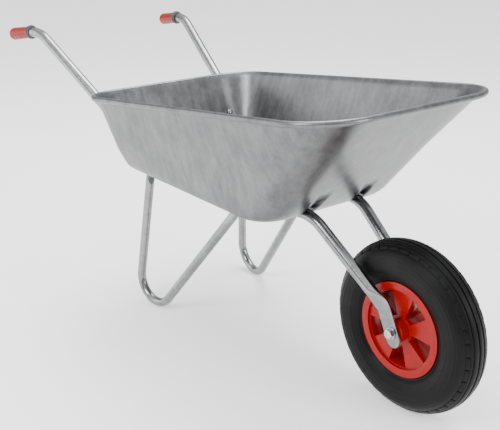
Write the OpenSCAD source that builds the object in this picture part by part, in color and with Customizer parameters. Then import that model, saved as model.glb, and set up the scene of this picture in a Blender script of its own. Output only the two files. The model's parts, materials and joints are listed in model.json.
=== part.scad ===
// Single-wheel builder's barrow: pressed pan, bent tube frame, two V-shaped legs, pneumatic wheel.
// +X runs forward to the wheel, +Y to the left, +Z up. The ground is z = 0.
// Heights are above the ground. Distances along X named "behind" are measured back from the axle.

/* [Overall] */
// Length from the ends of the grips to the front of the tyre
overall_l = 1450; // [1300:5:1750]
// Distance between the ends of the two grips, centre to centre
handle_w = 488; // [420:2:600]
// Height of the grip ends' centres
grip_z = 635; // [560:5:700]

/* [Wheel] */
// Outside diameter of the tyre
tyre_d = 364; // [330:2:400]
// Width of the tyre
tyre_w = 82; // [74:1:88]
// Diameter of the wheel's flanges
flange_d = 200; // [180:2:210]
// Distance between the outer faces of the two flanges
rim_w = 62; // [56:1:66]
// Number of spokes, and of windows between them
spoke_n = 5; // [3:1:8]
// Width of each window, in degrees
window_a = 33; // [20:1:40]
// Direction of the valve, in degrees from straight ahead
valve_a = 125; // [0:5:355]
// Outside diameter of the hub
hub_d = 48; // [42:1:56]
// Length of the sleeve that the wheel turns on
sleeve_l = 96; // [92:1:110]
// Outside diameter of the sleeve
sleeve_d = 20; // [18:1:22]
// Thread diameter of the axle bolt
axle_d = 12; // [10:1:14]

/* [Pan] */
// Length of the rim, bead centre to bead centre
pan_l = 878; // [800:2:920]
// Distance from the axle forward to the bead's centre at the front of the rim
pan_front = 2; // [-20:1:20]
// Width of the rim at its rear end
pan_w_rear = 504; // [480:2:600]
// Width of the rim at its front end
pan_w_front = 510; // [480:2:600]
// Height of the rim at its rear end
rim_z_rear = 528; // [510:2:560]
// Height of the rim at its front end
rim_z_front = 632; // [600:2:680]
// Corner radius of the rim at the rear
rim_r_rear = 95; // [80:1:105]
// Corner radius of the rim at the front
rim_r_front = 118; // [95:1:130]
// Height of the underside of the floor
floor_z = 357; // [345:1:370]
// Distance behind the axle of the floor's front edge
floor_front = 243; // [230:1:260]
// Distance behind the axle of the floor's rear edge
floor_rear = 788; // [760:1:800]
// Width of the floor
floor_w = 364; // [360:2:380]
// Depth of the steep upper band of the sides, down to the crease
crease_h = 127; // [100:1:140]
// How far the upper band leans in, rim to crease
crease_in = 39; // [25:1:45]
// Diameter of the rolled bead along the rim
bead_d = 13; // [10:0.5:15]
// Thickness of the sheet
sheet = 1.2; // [0.8:0.1:1.5]

/* [Frame] */
// Outside diameter of the frame tubes
tube_d = 25; // [22:0.5:27]
// Wall thickness of the frame tubes
tube_t = 1.5; // [1.2:0.1:2.5]
// Bend radius of the frame tubes, at the centreline
tube_bend = 90; // [75:1:100]
// Bend radius where the tubes turn up behind the floor, at the centreline
heel_bend = 66; // [60:1:67]
// Distance from the end of a grip forward to the handle's bend
grip_run = 138; // [130:1:170]
// Height of the handle's bend
handle_bend_z = 656; // [620:2:690]
// Distance from the middle to a tube at the handle's bend
handle_bend_y = 228; // [210:1:260]
// Distance from the middle to a tube just below the rear rim
neck_y = 184; // [178:1:190]
// How far below the rear rim the tube bends away from the pan
neck_drop = 38; // [36:1:50]
// Distance from the middle to a tube at the floor's rear edge
heel_y = 152; // [146:1:154]
// Distance from the middle to a tube at the front bend
fork_y = 71; // [66:1:80]
// Distance behind the axle of the front bend
fork_bend_x = 216; // [205:1:225]
// Distance behind the axle of the flattened end's kink
kink_x = 24; // [15:1:35]
// Height of the flattened end's kink above the axle
kink_h = 48; // [42:1:60]
// Width of the flattened end
strap_w = 36; // [30:1:40]
// Thickness of the flattened end
strap_t = 4; // [3:0.5:5]
// Length of the flattened end beyond the axle
strap_over = 31; // [20:1:34]

/* [Legs] */
// Outside diameter of the leg tubes
leg_d = 22; // [19:0.5:25]
// Wall thickness of the leg tubes
leg_t = 1.5; // [1.2:0.1:2.5]
// Bend radius of the foot, at the centreline
foot_bend = 60; // [45:1:70]
// Distance behind the axle of the lowest point of the foot
foot_x = 709; // [690:1:720]
// Distance behind the axle of the top of the upright
upright_x = 735; // [725:1:745]
// Distance behind the axle of the top of the brace
brace_x = 409; // [380:1:430]
// Sideways lean of the legs, in degrees
splay = 3.6; // [0:0.2:4]
// Length of the flat tab at each end of a leg
tab_l = 38; // [34:1:44]
// Width of the flat tabs
tab_w = 26; // [24:1:28]
// Thickness of the flat tabs
tab_t = 3; // [2.5:0.5:4]

/* [Grips] */
// Outside diameter of a grip
grip_d = 33; // [30:1:36]
// Length of a grip
grip_l = 104; // [95:1:106]
// Diameter of the collar at the mouth of a grip
collar_d = 37; // [36:1:40]

/* [Fasteners] */
// Thread diameter of the bolts
bolt_d = 8; // [6:1:8]
// Gap between a bolt and its hole, each side
bolt_gap = 0.3; // [0.2:0.05:0.4]
// Gap between the sleeve and the bushes that turn on it, each side
run_gap = 0.05; // [0.02:0.01:0.1]
// Gap between a tube and the pressed seat that it lies in
seat_gap = 0.4; // [0.3:0.1:0.6]

/* [Hidden] */
$fn = 48;

// The axle is the point that the layout is measured from.
axle_x = overall_l / 2 - tyre_d / 2;
axle_z = tyre_d / 2;

tube_r = tube_d / 2;
leg_r = leg_d / 2;
bolt_r = bolt_d / 2;
washer_t = 1.6;
washer_r = bolt_d;
head_r = 0.8 * bolt_d;
head_h = 0.65 * bolt_d;
thread_over = 3;

// The seat is the rounded channel pressed into the floor for a tube.
// Its outline is a polygon drawn around a circle, so the facets stay clear of the tube.
seat_step = 30;
seat_r = (tube_r + seat_gap) / cos(seat_step / 2);
seat_skirt = 5;
tube_rise = 14;
tube_z = floor_z + tube_rise;

// Bead centreline of the rim, as seen from the side
rim_rear_x = pan_front - pan_l;
bead_r = bead_d / 2;
rim_slope = (rim_z_front - rim_z_rear) / pan_l;
rear_run = -floor_rear - rim_rear_x - bead_r;
rear_drop = rim_z_rear - floor_z;
rear_len = norm([rear_run, rear_drop]);
// Inward normal of the rear wall, as [x, z]
rear_n = [rear_drop, rear_run] / rear_len;

// Corners of the frame tube's centreline, as seen from the side
heel_x = -floor_rear - seat_r / rear_n[0] - tube_rise * rear_run / rear_drop;
neck_z = rim_z_rear - neck_drop;
neck_x = heel_x - (neck_z - tube_z) * rear_run / rear_drop;
strap_y = sleeve_l / 2 + strap_t / 2;
tube_end_gap = 8;
grip_end_x = -(overall_l - tyre_d / 2);

function unit(v) = v / norm(v);
function mix(a, b, f) = a + (b - a) * f;

// Right-hand tube; y is mirrored for the left-hand one
TUBE_PTS = [
    [grip_end_x + tube_end_gap, -handle_w / 2, grip_z],
    [grip_end_x + grip_run, -handle_bend_y, handle_bend_z],
    [neck_x, -neck_y, neck_z],
    [heel_x, -heel_y, tube_z],
    [-fork_bend_x, -fork_y, tube_z],
    [-kink_x, -strap_y, axle_z + kink_h]
];
// The tube goes flat over this length before the kink.
flatten_l = 46;
fork_dir = unit(TUBE_PTS[5] - TUBE_PTS[4]);
tube_front = TUBE_PTS[5] - flatten_l * fork_dir;
floor_yaw = atan((heel_y - fork_y) / (-fork_bend_x - heel_x));

// ---- Bent tubes ----

function frame_matrix(u, v, w, o) = [
    [u[0], v[0], w[0], o[0]],
    [u[1], v[1], w[1], o[1]],
    [u[2], v[2], w[2], o[2]],
    [0, 0, 0, 1]
];

module rod(a, b, r) {
    w = unit(b - a);
    u = unit(cross([0, 0, 1], w));
    multmatrix(frame_matrix(u, cross(w, u), w, a)) cylinder(h = norm(b - a), r = r);
}

// A tube is a list of stations, [centre, direction], with n steps round the bend at corner i.
function bend_stations(p, i, radius, n) =
    let (
        d = unit(p[i] - p[i - 1]),
        e = unit(p[i + 1] - p[i]),
        turn = acos(d * e),
        side = unit(e - d * (d * e)),
        c = p[i] - d * radius * tan(turn / 2) + side * radius
    )
    [for (k = [0:n]) let (a = turn * k / n)
        [c - side * radius * cos(a) + d * radius * sin(a), d * cos(a) + side * sin(a)]];

// The bend at corner i of the right-hand tube
function tube_bend_stations(i) = bend_stations(TUBE_PTS, i, i == 3 ? heel_bend : tube_bend, bend_steps);

// A section is [centre, width axis, thickness axis, half width, half thickness, squareness].
function tube_section(st, wide, a, b, sq) =
    let (u = unit(wide - st[1] * (st[1] * wide))) [st[0], u, cross(st[1], u), a, b, sq];
function soft(x, sq) = sign(x) * pow(abs(x), sq);
function section_ring(s, n) = [for (q = [0:n - 1]) let (a = 360 * q / n)
    s[0] + s[1] * s[3] * soft(cos(a), s[5]) + s[2] * s[4] * soft(sin(a), s[5])];

// Closed solid through the sections, with n sides
module loft(sections, n) {
    last = len(sections) - 1;
    polyhedron(
        points = [for (s = sections) each section_ring(s, n)],
        faces = concat(
            [for (k = [0:last - 1]) for (q = [0:n - 1])
                let (a = k * n + q, b = k * n + (q + 1) % n)
                each [[a, a + n, b + n], [a, b + n, b]]],
            [for (q = [1:n - 2]) [0, q, q + 1]],
            [for (q = [1:n - 2]) [last * n, last * n + q + 1, last * n + q]]
        )
    );
}

// Squareness of a flattened section, and of a round one
flat_sq = 0.3;
round_sq = 1;
tube_sides = 24;
bend_steps = 6;

// Sections of a rounded tip: dir points out of the tip, and mid is the centre of its curve
function tip_sections(mid, dir, wide, a, b, outwards) =
    let (f = outwards ? [0, 0.5, 0.8, 0.95] : [0.95, 0.8, 0.5, 0])
    [for (k = f) tube_section(
        [mid + dir * a * k, outwards ? dir : -dir], wide, a * sqrt(1 - k * k), b, flat_sq)];

// ---- Fasteners ----

module hex_head(r, h) {
    cylinder(h = h, r = r, $fn = 6);
}

module washer(bore, r, h) {
    difference() {
        cylinder(h = h, r = r);
        translate([0, 0, -1]) cylinder(h = h + 2, r = bore);
    }
}

// Bolt with its head above z = 0 and its shank below
module bolt(r, l, hr, hh) {
    hex_head(hr, hh);
    translate([0, 0, -l]) cylinder(h = l + 1, r = r);
}

module nut(bore, r, h) {
    difference() {
        hex_head(r, h);
        translate([0, 0, -1]) cylinder(h = h + 2, r = bore);
    }
}

// Places its children on a leg bolt's axis. z = 0 is the tube's axis, and z leans with the legs.
leg_bolt_in = 0.6 * tab_l;
rear_bolt_s = -upright_x - leg_bolt_in;
front_bolt_s = -brace_x + leg_bolt_in;

module on_tube(x) {
    translate([x, -(fork_y + (-fork_bend_x - x) * tan(floor_yaw)), tube_z])
        rotate([0, 0, floor_yaw]) rotate([-splay, 0, 0]) children();
}

module both_sides() {
    children();
    mirror([0, 1, 0]) children();
}

module at_leg_bolts() {
    both_sides() for (x = [rear_bolt_s, front_bolt_s]) on_tube(x) children();
}

// Places its children on a rear-wall bolt, with z pointing into the pan from the tube's axis
wall_bolt_at = 0.5;
wall_bolt_pos = mix(TUBE_PTS[3], TUBE_PTS[2], wall_bolt_at);

module at_wall_bolts() {
    both_sides() translate(wall_bolt_pos) rotate([0, atan2(rear_n[0], rear_n[1]), 0]) children();
}

// ---- Pan ----

// Half the columns across an end wall, from the middle outwards: the seat's profile and its place
SEAT = [[-1, 0], [-0.866, 0.5], [-0.5, 1], [0, 1], [0.5, 1], [0.866, 0.5], [1, 0]];
half_cols = 12;
cols = 2 * half_cols;
rows = 12;
ring_n = 2 * (rows + cols);
fillet_start = 0.88;
// Corner radii of the floor
floor_r_rear = 22;
floor_r_front = 60;
// How far the bottom's rounding reaches into the floor, at the rear, the front and the sides
heel_len = 26;
toe_len = 37;
edge_len = 10;
// Height above the floor at which the seats fade out on the front wall
fade_h = 78;
// Thickness across a wall for each unit of the sheet, because the walls slant
slant = 1.2;
// Length of the cutters that drill the sheet and the tubes
drill_l = 60;

function rim_z(x) = rim_z_rear + rim_slope * (x - rim_rear_x);
function tube_y(x) = fork_y + (-fork_bend_x - x) * tan(floor_yaw);
function bez(a, b, c, f) = a * (1 - f) * (1 - f) + 2 * b * f * (1 - f) + c * f * f;

// A ring of the pan is [rear x, front x, half width, rear corner, front corner].
// e is the end walls' inset and s the sides' inset, each 0 at the rim and 1 at the floor's sharp edge.
function ring(e, s, out) = [
    mix(rim_rear_x + bead_r, -floor_rear, e) - out,
    mix(pan_front - bead_r, -floor_front, e) + out,
    mix(pan_w_rear / 2 - bead_r, floor_w / 2, s) + out,
    mix(rim_r_rear - bead_r, floor_r_rear, min(e, 1)) + out,
    mix(rim_r_front - bead_r, floor_r_front, min(e, 1)) + out
];

// Column j of an end: signed distance across the pan
function half_y(k, c, top, widen) =
    k == 0 ? 0
    : k == 1 ? c - seat_r - seat_skirt
    : k < 9 ? c + SEAT[k - 2][0] * (seat_r + widen)
    : mix(c + seat_r + seat_skirt, top, (k - 9) / 3);
function end_y(j, c, top, widen) = sign(j - half_cols) * half_y(abs(j - half_cols), c, top, widen);
function seat_height(j) =
    let (k = abs(j - half_cols))
    k > 1 && k < 9 ? SEAT[k - 2][1] : -1;

function corner_drop(r, past) = past <= 0 ? 0 : r - sqrt(max(0, r * r - past * past));

// Points along a side of a ring, with three facets on the half of each corner that the side has
function side_x(g, i) =
    i < 4 ? g[0] + g[3] * (1 - sin(45 - 15 * i))
    : i > 8 ? g[1] - g[4] * (1 - sin(15 * (i - 9)))
    : mix(g[0] + g[3], g[1] - g[4], (i - 3) / 6);

function side_y(g, i, widen_front) =
    let (x = side_x(g, i), hw = g[2] + widen_front * (x - g[0]) / (g[1] - g[0]))
    hw - (i < 4 ? corner_drop(g[3], g[0] + g[3] - x) : i > 8 ? corner_drop(g[4], x - g[1] + g[4]) : 0);

// Grid place of ring point m
function grid_i(m) =
    m < cols ? 0 : m < cols + rows ? m - cols : m < 2 * cols + rows ? rows : ring_n - m;
function grid_j(m) =
    m < cols ? m : m < cols + rows ? cols : m < 2 * cols + rows ? 2 * cols + rows - m : 0;

// The tube's centreline under the pan, which says how deep its seat is and where it lies across the pan
function flat(v) = [v[0], v[2]];
SEAT_PATH = concat(
    [TUBE_PTS[2]],
    [for (i = [3, 4]) for (st = tube_bend_stations(i)) st[0]],
    [TUBE_PTS[5]]
);
// Point of the stretch from a to b that lies nearest to p, which is [x, z]
function near_on(p, a, b) =
    let (u = flat(b) - flat(a), f = ((p - flat(a)) * u) / (u * u)) a + (b - a) * min(1, max(0, f));
function nearest(p) =
    let (
        q = [for (k = [0:len(SEAT_PATH) - 2]) near_on(p, SEAT_PATH[k], SEAT_PATH[k + 1])],
        d = [for (v = q) norm(flat(v) - p)],
        low = min(d)
    )
    [for (k = [0:len(q) - 1]) if (d[k] == low) q[k]][0];

// One step from the push x along n towards the push that leaves p at distance r inside the centreline
function push_step(p, n, r, x) =
    let (a = p + n * x, v = a - flat(nearest(a))) x + r - (v * n > 0 ? norm(v) : -norm(v));

// How far the sheet is pushed in at a point, for seat profile h, along n
function seat_push(p, n, h, skin, front) =
    h < 0 ? 0
    : let (
        r = seat_r + skin * sheet,
        deep = push_step(p, n, r, push_step(p, n, r, push_step(p, n, r, 0))),
        full = tube_rise + seat_r * h,
        fade = front ? full * (1 - (p[1] - floor_z) / fade_h) : 0
    )
    max(0, deep - r * (1 - h), fade);

// Point m of ring k. skin is 0 on the outside of the sheet and 1 on the inside.
// k = 0 is the rim, 3 the crease, 5 the start of the bottom rounding and 8 the floor's edge.
function ring_point(m, k, skin) =
    let (
        i = grid_i(m),
        j = grid_j(m),
        rim = ring(0, 0, 0),
        x0 = i == 0 ? rim[0] : i == rows ? rim[1] : side_x(rim, i),
        top = rim_z(x0),
        deep = top - floor_z,
        tc = crease_h / deep,
        sc = crease_in / (pan_w_rear / 2 - bead_r - floor_w / 2),
        f = max(0, (k - 5) / 3),
        t = k < 4 ? tc * k / 3 : k == 4 ? mix(tc, fillet_start, 0.5) : bez(fillet_start, 1, 1, f),
        front = x0 > (rim[0] + rim[1]) / 2,
        over_e = front ? toe_len / (floor_front + pan_front - bead_r) : heel_len / rear_run,
        e = k < 5 ? t : bez(fillet_start, 1, 1 + over_e, f),
        s1 = mix(sc, 1, (fillet_start - tc) / (1 - tc)),
        over_s = edge_len / (pan_w_rear / 2 - bead_r - floor_w / 2),
        s = k < 4 ? sc * k / 3 : k == 4 ? mix(sc, s1, 0.5) : bez(s1, 1, 1 + over_s, f),
        g = ring(e, s, -slant * skin * sheet * (1 - f)),
        wide = (pan_w_front - pan_w_rear) / 2 * (1 - min(1, s)),
        z = top - deep * t + skin * sheet * f,
        is_end = i == 0 || i == rows,
        r = i == 0 ? g[3] : g[4],
        hw = g[2] + (front ? wide : 0),
        ex = i == 0 ? g[0] : g[1],
        n = front ? [0, 1] : unit(mix(rear_n, [0, 1], f)),
        push = is_end ? seat_push([ex, z], n, seat_height(j), skin, front) : 0,
        seat_at = [ex, z] + push * n,
        c = front ? tube_y(max(ex, -floor_front - toe_len)) : -nearest(seat_at)[1],
        y = end_y(j, c, hw - r * (1 - sin(45)), skin * sheet),
        drop = corner_drop(r, abs(y) - hw + r)
    )
    is_end ? [seat_at[0] + (i == 0 ? drop : -drop), y, seat_at[1]]
    : [side_x(g, i), (j == 0 ? -1 : 1) * side_y(g, i, wide), z];

// Point of the floor's grid, which meets the last ring at its edge
function floor_m(i, j) =
    i == 0 ? j : j == cols ? cols + i : i == rows ? 2 * cols + rows - j : ring_n - i;
function floor_point(i, j, skin) =
    i == 0 || i == rows || j == 0 || j == cols ? ring_point(floor_m(i, j) % ring_n, 8, skin)
    : let (
        a = ring_point(j, 8, skin),
        b = ring_point(floor_m(rows, j), 8, skin),
        s0 = ring_point(cols, 8, skin),
        s1 = ring_point(cols + rows, 8, skin),
        si = ring_point(cols + i, 8, skin),
        f = (si[0] - s0[0]) / (s1[0] - s0[0]),
        x = mix(a[0], b[0], f),
        p = [x, floor_z + skin * sheet]
    )
    [x, mix(a[1], b[1], f), p[1] + seat_push(p, [0, 1], seat_height(j), skin, false)];

// Point m of the rolled bead, at angle a round its section
function bead_point(m, a, skin) =
    let (
        r = bead_r - (1 - skin) * sheet,
        i = grid_i(m),
        j = grid_j(m),
        g = ring(0, 0, bead_r + r * cos(a)),
        base = ring_point(m, 0, 0),
        rim = ring(0, 0, 0),
        wide = (pan_w_front - pan_w_rear) / 2,
        cx = i < rows / 2 ? rim[0] + rim[3] : rim[1] - rim[4],
        cy = rim[2] + (i < rows / 2 ? 0 : wide) - (i < rows / 2 ? rim[3] : rim[4]),
        in_arc = (i < rows / 2 ? base[0] < cx : base[0] > cx) && abs(base[1]) > cy,
        away = in_arc ? unit([base[0] - cx, abs(base[1]) - cy])
            : i == 0 ? [-1, 0] : i == rows ? [1, 0] : [0, 1],
        o = bead_r + r * cos(a)
    )
    [base[0] + away[0] * o, base[1] + sign(base[1]) * away[1] * o, base[2] + r * sin(a)];

BEAD_ANGLES = [150, 105, 60, 15, -30, -75, -115];
bead_rows = len(BEAD_ANGLES);
wall_rows = 9;
skin_rows = bead_rows + wall_rows;

// One skin's points: the bead's rows from its open lip up, then the rings down to the floor, then the floor
function skin_points(skin) = concat(
    [for (b = [bead_rows - 1:-1:0]) for (m = [0:ring_n - 1]) bead_point(m, BEAD_ANGLES[b], skin)],
    [for (k = [0:wall_rows - 1]) for (m = [0:ring_n - 1]) ring_point(m, k, skin)],
    [for (i = [1:rows - 1]) for (j = [1:cols - 1]) floor_point(i, j, skin)]
);
skin_n = skin_rows * ring_n + (rows - 1) * (cols - 1);
function floor_at(i, j) =
    i == 0 || i == rows || j == 0 || j == cols
    ? (skin_rows - 1) * ring_n + floor_m(i, j) % ring_n
    : skin_rows * ring_n + (i - 1) * (cols - 1) + j - 1;

// Two triangles for a four-cornered patch, turned over for the inner skin
function patch(a, b, c, d, skin) =
    let (o = skin * skin_n)
    skin == 0 ? [[a + o, b + o, c + o], [a + o, c + o, d + o]]
    : [[a + o, c + o, b + o], [a + o, d + o, c + o]];

function skin_faces(skin) = concat(
    [for (k = [0:skin_rows - 2]) for (m = [0:ring_n - 1])
        let (a = k * ring_n + m, b = k * ring_n + (m + 1) % ring_n)
        each patch(a, a + ring_n, b + ring_n, b, skin)],
    [for (i = [0:rows - 1]) for (j = [0:cols - 1])
        each patch(floor_at(i, j), floor_at(i + 1, j), floor_at(i + 1, j + 1), floor_at(i, j + 1), skin)]
);

module pan_shell() {
    lip = [for (m = [0:ring_n - 1])
        let (a = m, b = (m + 1) % ring_n)
        each [[a, b, b + skin_n], [a, b + skin_n, a + skin_n]]];
    polyhedron(
        points = concat(skin_points(0), skin_points(1)),
        faces = concat(skin_faces(0), skin_faces(1), lip)
    );
}

module pan() {
    color([0.62, 0.64, 0.66]) difference() {
        pan_shell();
        at_leg_bolts() cylinder(h = drill_l, r = bolt_r + bolt_gap);
        at_wall_bolts() cylinder(h = drill_l, r = bolt_r + bolt_gap);
    }
}

// ---- Frame ----

strap_dir = unit([kink_x, 0, -kink_h]);
strap_end = TUBE_PTS[5] + strap_dir * (norm([kink_x, kink_h]) + strap_over - strap_w / 2);
ALL_PTS = concat(TUBE_PTS, [strap_end]);
kink_bend = 22;
Y_AXIS = [0, 1, 0];

function in_plane(st) = unit(cross(Y_AXIS, st[1]));
back_dir = unit(TUBE_PTS[1] - TUBE_PTS[0]);
function round_part(r, over = 0) = let (start = [TUBE_PTS[0] - over * back_dir, back_dir]) concat(
    [tube_section(start, in_plane(start), r, r, round_sq)],
    [for (i = [1:4]) for (st = tube_bend_stations(i)) tube_section(st, in_plane(st), r, r, round_sq)],
    [tube_section([tube_front, fork_dir], in_plane([tube_front, fork_dir]), r, r, round_sq)]
);

// The tube is pressed flat in three steps, kinks, and runs on as the strap to its round end.
function flat_part() =
    let (
        kink = bend_stations(ALL_PTS, 5, kink_bend, 3),
        a = strap_w / 2,
        b = strap_t / 2,
        wide = in_plane([tube_front, fork_dir])
    )
    concat(
        [for (f = [0.35, 0.7]) tube_section(
            [mix(tube_front, kink[0][0], f), fork_dir], wide,
            mix(tube_r, a, f), mix(tube_r, b, f), mix(round_sq, flat_sq, f))],
        [for (st = kink) tube_section(st, in_plane(st), a, b, flat_sq)],
        tip_sections(strap_end, strap_dir, in_plane([strap_end, strap_dir]), a, b, true)
    );

module frame_tube() {
    color([0.75, 0.77, 0.79]) difference() {
        loft(concat(round_part(tube_r), flat_part()), tube_sides);
        loft(round_part(tube_r - tube_t, 1), tube_sides);
        at_leg_bolts() cylinder(h = drill_l, r = bolt_r + bolt_gap, center = true);
        at_wall_bolts() cylinder(h = drill_l, r = bolt_r + bolt_gap, center = true);
        on_axle() cylinder(h = 2 * sleeve_l, r = axle_d / 2 + bolt_gap, center = true);
    }
}

module frame_tube_right() {
    frame_tube();
}

module frame_tube_left() {
    mirror([0, 1, 0]) frame_tube();
}

// ---- Legs ----

// A leg lies in its own leaning plane: x runs forward along the tube, z is up from the tube's axis.
leg_origin = -upright_x;
leg_cos = cos(floor_yaw);
foot_c = [(upright_x - foot_x) / leg_cos, -(tube_z - leg_r) / cos(splay) + foot_bend];
tab_z = -tube_r - tab_t / 2;
flare_l = 30;
UP_TOP = [0, tab_z];
BRACE_TOP = [(upright_x - brace_x) / leg_cos, tab_z];

// Angle round the foot's centre of the tangent from p, on the given side
function tangent_a(p, side) =
    atan2(p[1] - foot_c[1], p[0] - foot_c[0]) + side * acos(foot_bend / norm(p - foot_c));
function up3(v) = [v[0], 0, v[1]];

foot_a1 = tangent_a(UP_TOP, 1);
foot_a2 = tangent_a(BRACE_TOP, -1) + 360;
foot_mid = (foot_a1 + foot_a2) / 2;
// Where the lines of the upright and the brace would meet
foot_corner = foot_c + foot_bend / cos((foot_a2 - foot_a1) / 2) * [cos(foot_mid), sin(foot_mid)];
tab_mid = tab_l - tab_w / 2;
tab_bend = 12;
LEG_PTS = [
    up3(UP_TOP - [tab_mid, 0]), up3(UP_TOP), up3(foot_corner), up3(BRACE_TOP), up3(BRACE_TOP + [tab_mid, 0])
];
leg_sides = 20;
vent_d = 5;

function leg_flare(st, dir, f) =
    tube_section([st[0] + dir * flare_l * f, st[1]], Y_AXIS,
        mix(tab_w / 2, leg_r, f), mix(tab_t / 2, leg_r, f), mix(flat_sq, round_sq, f));

function leg_round(r, over) =
    let (
        top = bend_stations(LEG_PTS, 1, tab_bend, 3)[3],
        end = bend_stations(LEG_PTS, 3, tab_bend, 3)[0],
        steps = concat(
            [[top[0] + top[1] * (flare_l - over), top[1]]],
            bend_stations(LEG_PTS, 2, foot_bend, 12),
            [[end[0] - end[1] * (flare_l - over), end[1]]]
        )
    )
    [for (st = steps) tube_section(st, Y_AXIS, r, r, round_sq)];

function leg_sections() =
    let (top = bend_stations(LEG_PTS, 1, tab_bend, 3), end = bend_stations(LEG_PTS, 3, tab_bend, 3))
    concat(
        tip_sections(LEG_PTS[0], [-1, 0, 0], Y_AXIS, tab_w / 2, tab_t / 2, false),
        [for (st = top) tube_section(st, Y_AXIS, tab_w / 2, tab_t / 2, flat_sq)],
        [for (f = [0.33, 0.67]) leg_flare(top[3], top[3][1], f)],
        leg_round(leg_r, 0),
        [for (f = [0.67, 0.33]) leg_flare(end[0], -end[0][1], f)],
        [for (st = end) tube_section(st, Y_AXIS, tab_w / 2, tab_t / 2, flat_sq)],
        tip_sections(LEG_PTS[4], [1, 0, 0], Y_AXIS, tab_w / 2, tab_t / 2, true)
    );

module leg() {
    color([0.72, 0.74, 0.76]) on_tube(leg_origin) difference() {
        loft(leg_sections(), leg_sides);
        loft(leg_round(leg_r - leg_t, 0), leg_sides);
        for (x = [-leg_bolt_in / leg_cos, BRACE_TOP[0] + leg_bolt_in / leg_cos])
            translate([x, 0, 0]) cylinder(h = drill_l, r = bolt_r + bolt_gap, center = true);
        // Vent in the middle of the foot's bend, on its upper side
        translate(up3(foot_c)) rotate([180, 0, 0]) cylinder(h = foot_bend, r = vent_d / 2);
    }
}

module leg_right() {
    leg();
}

module leg_left() {
    mirror([0, 1, 0]) leg();
}

// ---- Grips ----

grip_dir = unit(TUBE_PTS[1] - TUBE_PTS[0]);
collar_l = 9;

module grip() {
    u = unit(cross([0, 0, 1], grip_dir));
    ball = [grip_end_x + grip_d / 2, -handle_w / 2, grip_z];
    body_l = grip_l - grip_d / 2;
    color([0.85, 0.06, 0.05]) difference() {
        multmatrix(frame_matrix(u, cross(grip_dir, u), grip_dir, ball)) union() {
            sphere(r = grip_d / 2);
            cylinder(h = body_l, r = grip_d / 2);
            translate([0, 0, body_l - collar_l]) cylinder(h = collar_l, r = collar_d / 2);
        }
        rod(TUBE_PTS[0], TUBE_PTS[0] + 2 * grip_l * grip_dir, tube_r);
    }
}

module grip_right() {
    grip();
}

module grip_left() {
    mirror([0, 1, 0]) grip();
}

// ---- Wheel ----

flange_r = flange_d / 2;
flange_over = 8;
seat_rad = flange_r - flange_over;
rim_half = rim_w / 2;
lip_t = 4;
tyre_r = tyre_d / 2;
tyre_half = tyre_w / 2;
ring_in = flange_r - 16;
disc_out = rim_half - 6;
disc_t = 3.5;
barrel_t = 4;
window_wall = 3;
window_in = 30;
bush_r = sleeve_d / 2 + 4;
bush_flange_r = bush_r + 4;
bush_flange_t = 3;
bush_l = 24;
axial_gap = 0.5;
hub_half = sleeve_l / 2 - axial_gap - bush_flange_t;
groove_d = 4;
groove_w = 3;
rubber_t = 6;

// Turns a profile of [radius, distance along the axle] round the axle
module about_axle() {
    translate([0, 0, axle_z]) rotate([90, 0, 0]) rotate_extrude($fn = 96) children();
}

// Centres of the tyre's rounding and of the space inside it, measured from the axle
tyre_mid_r = mix(seat_rad, tyre_r, 0.52);
cavity_mid_r = mix(seat_rad, tyre_r, 0.5);
bead_h = 14;
groove_n = 5;
groove_pitch = 11;
// The outer grooves are set lower by this much for each place from the middle, squared
groove_fall = 1.6;

// The tyre's outline, from the beads on the rim out to the tread
module tyre_outline() {
    translate([seat_rad, -rim_half + lip_t]) square([bead_h, rim_w - 2 * lip_t]);
    intersection() {
        translate([tyre_mid_r, 0]) scale([(tyre_r - tyre_mid_r) / tyre_half, 1])
            circle(r = tyre_half, $fn = 64);
        translate([seat_rad, -tyre_half]) square([tyre_r, tyre_w]);
    }
}

module tyre() {
    mouth_in = 2 * lip_t + rubber_t - 2;
    side = (groove_n - 1) / 2;
    color([0.07, 0.07, 0.07]) about_axle() difference() {
        tyre_outline();
        translate([cavity_mid_r, 0]) tyre_oval(cavity_mid_r - seat_rad - rubber_t, tyre_half - rubber_t);
        translate([seat_rad - 1, -rim_half + mouth_in])
            square([cavity_mid_r - seat_rad, rim_w - 2 * mouth_in]);
        for (y = [-side:side])
            translate([tyre_r - groove_d - y * y * groove_fall, y * groove_pitch - groove_w / 2])
                square([3 * groove_d, groove_w]);
    }
}

module tyre_oval(h, w) {
    intersection() {
        polygon([for (a = [0:15:345]) [h * cos(a), w * sin(a)] / cos(7.5)]);
        translate([-h, -w]) square([2 * h, 2 * w]);
    }
}

tube_wall = 3;
tube_clear = 0.4;
tube_slack = 3;

module inner_tube() {
    h = cavity_mid_r - seat_rad - rubber_t - tube_clear;
    w = tyre_half - rubber_t - tube_clear - tube_slack;
    color([0.12, 0.12, 0.12]) difference() {
        about_axle() difference() {
            translate([cavity_mid_r, 0]) tyre_oval(h, w);
            translate([cavity_mid_r, 0]) tyre_oval(h - tube_wall, w - tube_wall);
        }
        at_valve() cylinder(h = 2 * stem_l, r = stem_r, center = true);
    }
}

// Valve: z runs from the inner tube in towards the axle
stem_r = 4.2;
stem_base = seat_rad + rubber_t + tube_wall;
stem_l = 34;
cap_l = 9;
cap_over = 2;
cap_wall = 1.3;

module at_valve() {
    translate([0, 0, axle_z]) rotate([0, 90 - valve_a, 0]) translate([0, 0, stem_base])
        rotate([180, 0, 0]) children();
}

module valve_stem() {
    color([0.1, 0.1, 0.1]) at_valve() cylinder(h = stem_l, r = stem_r);
}

module valve_cap() {
    color([0.05, 0.05, 0.05]) at_valve() difference() {
        translate([0, 0, stem_l - cap_l + cap_over]) cylinder(h = cap_l, r = stem_r + cap_wall);
        cylinder(h = stem_l, r = stem_r);
    }
}

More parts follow.
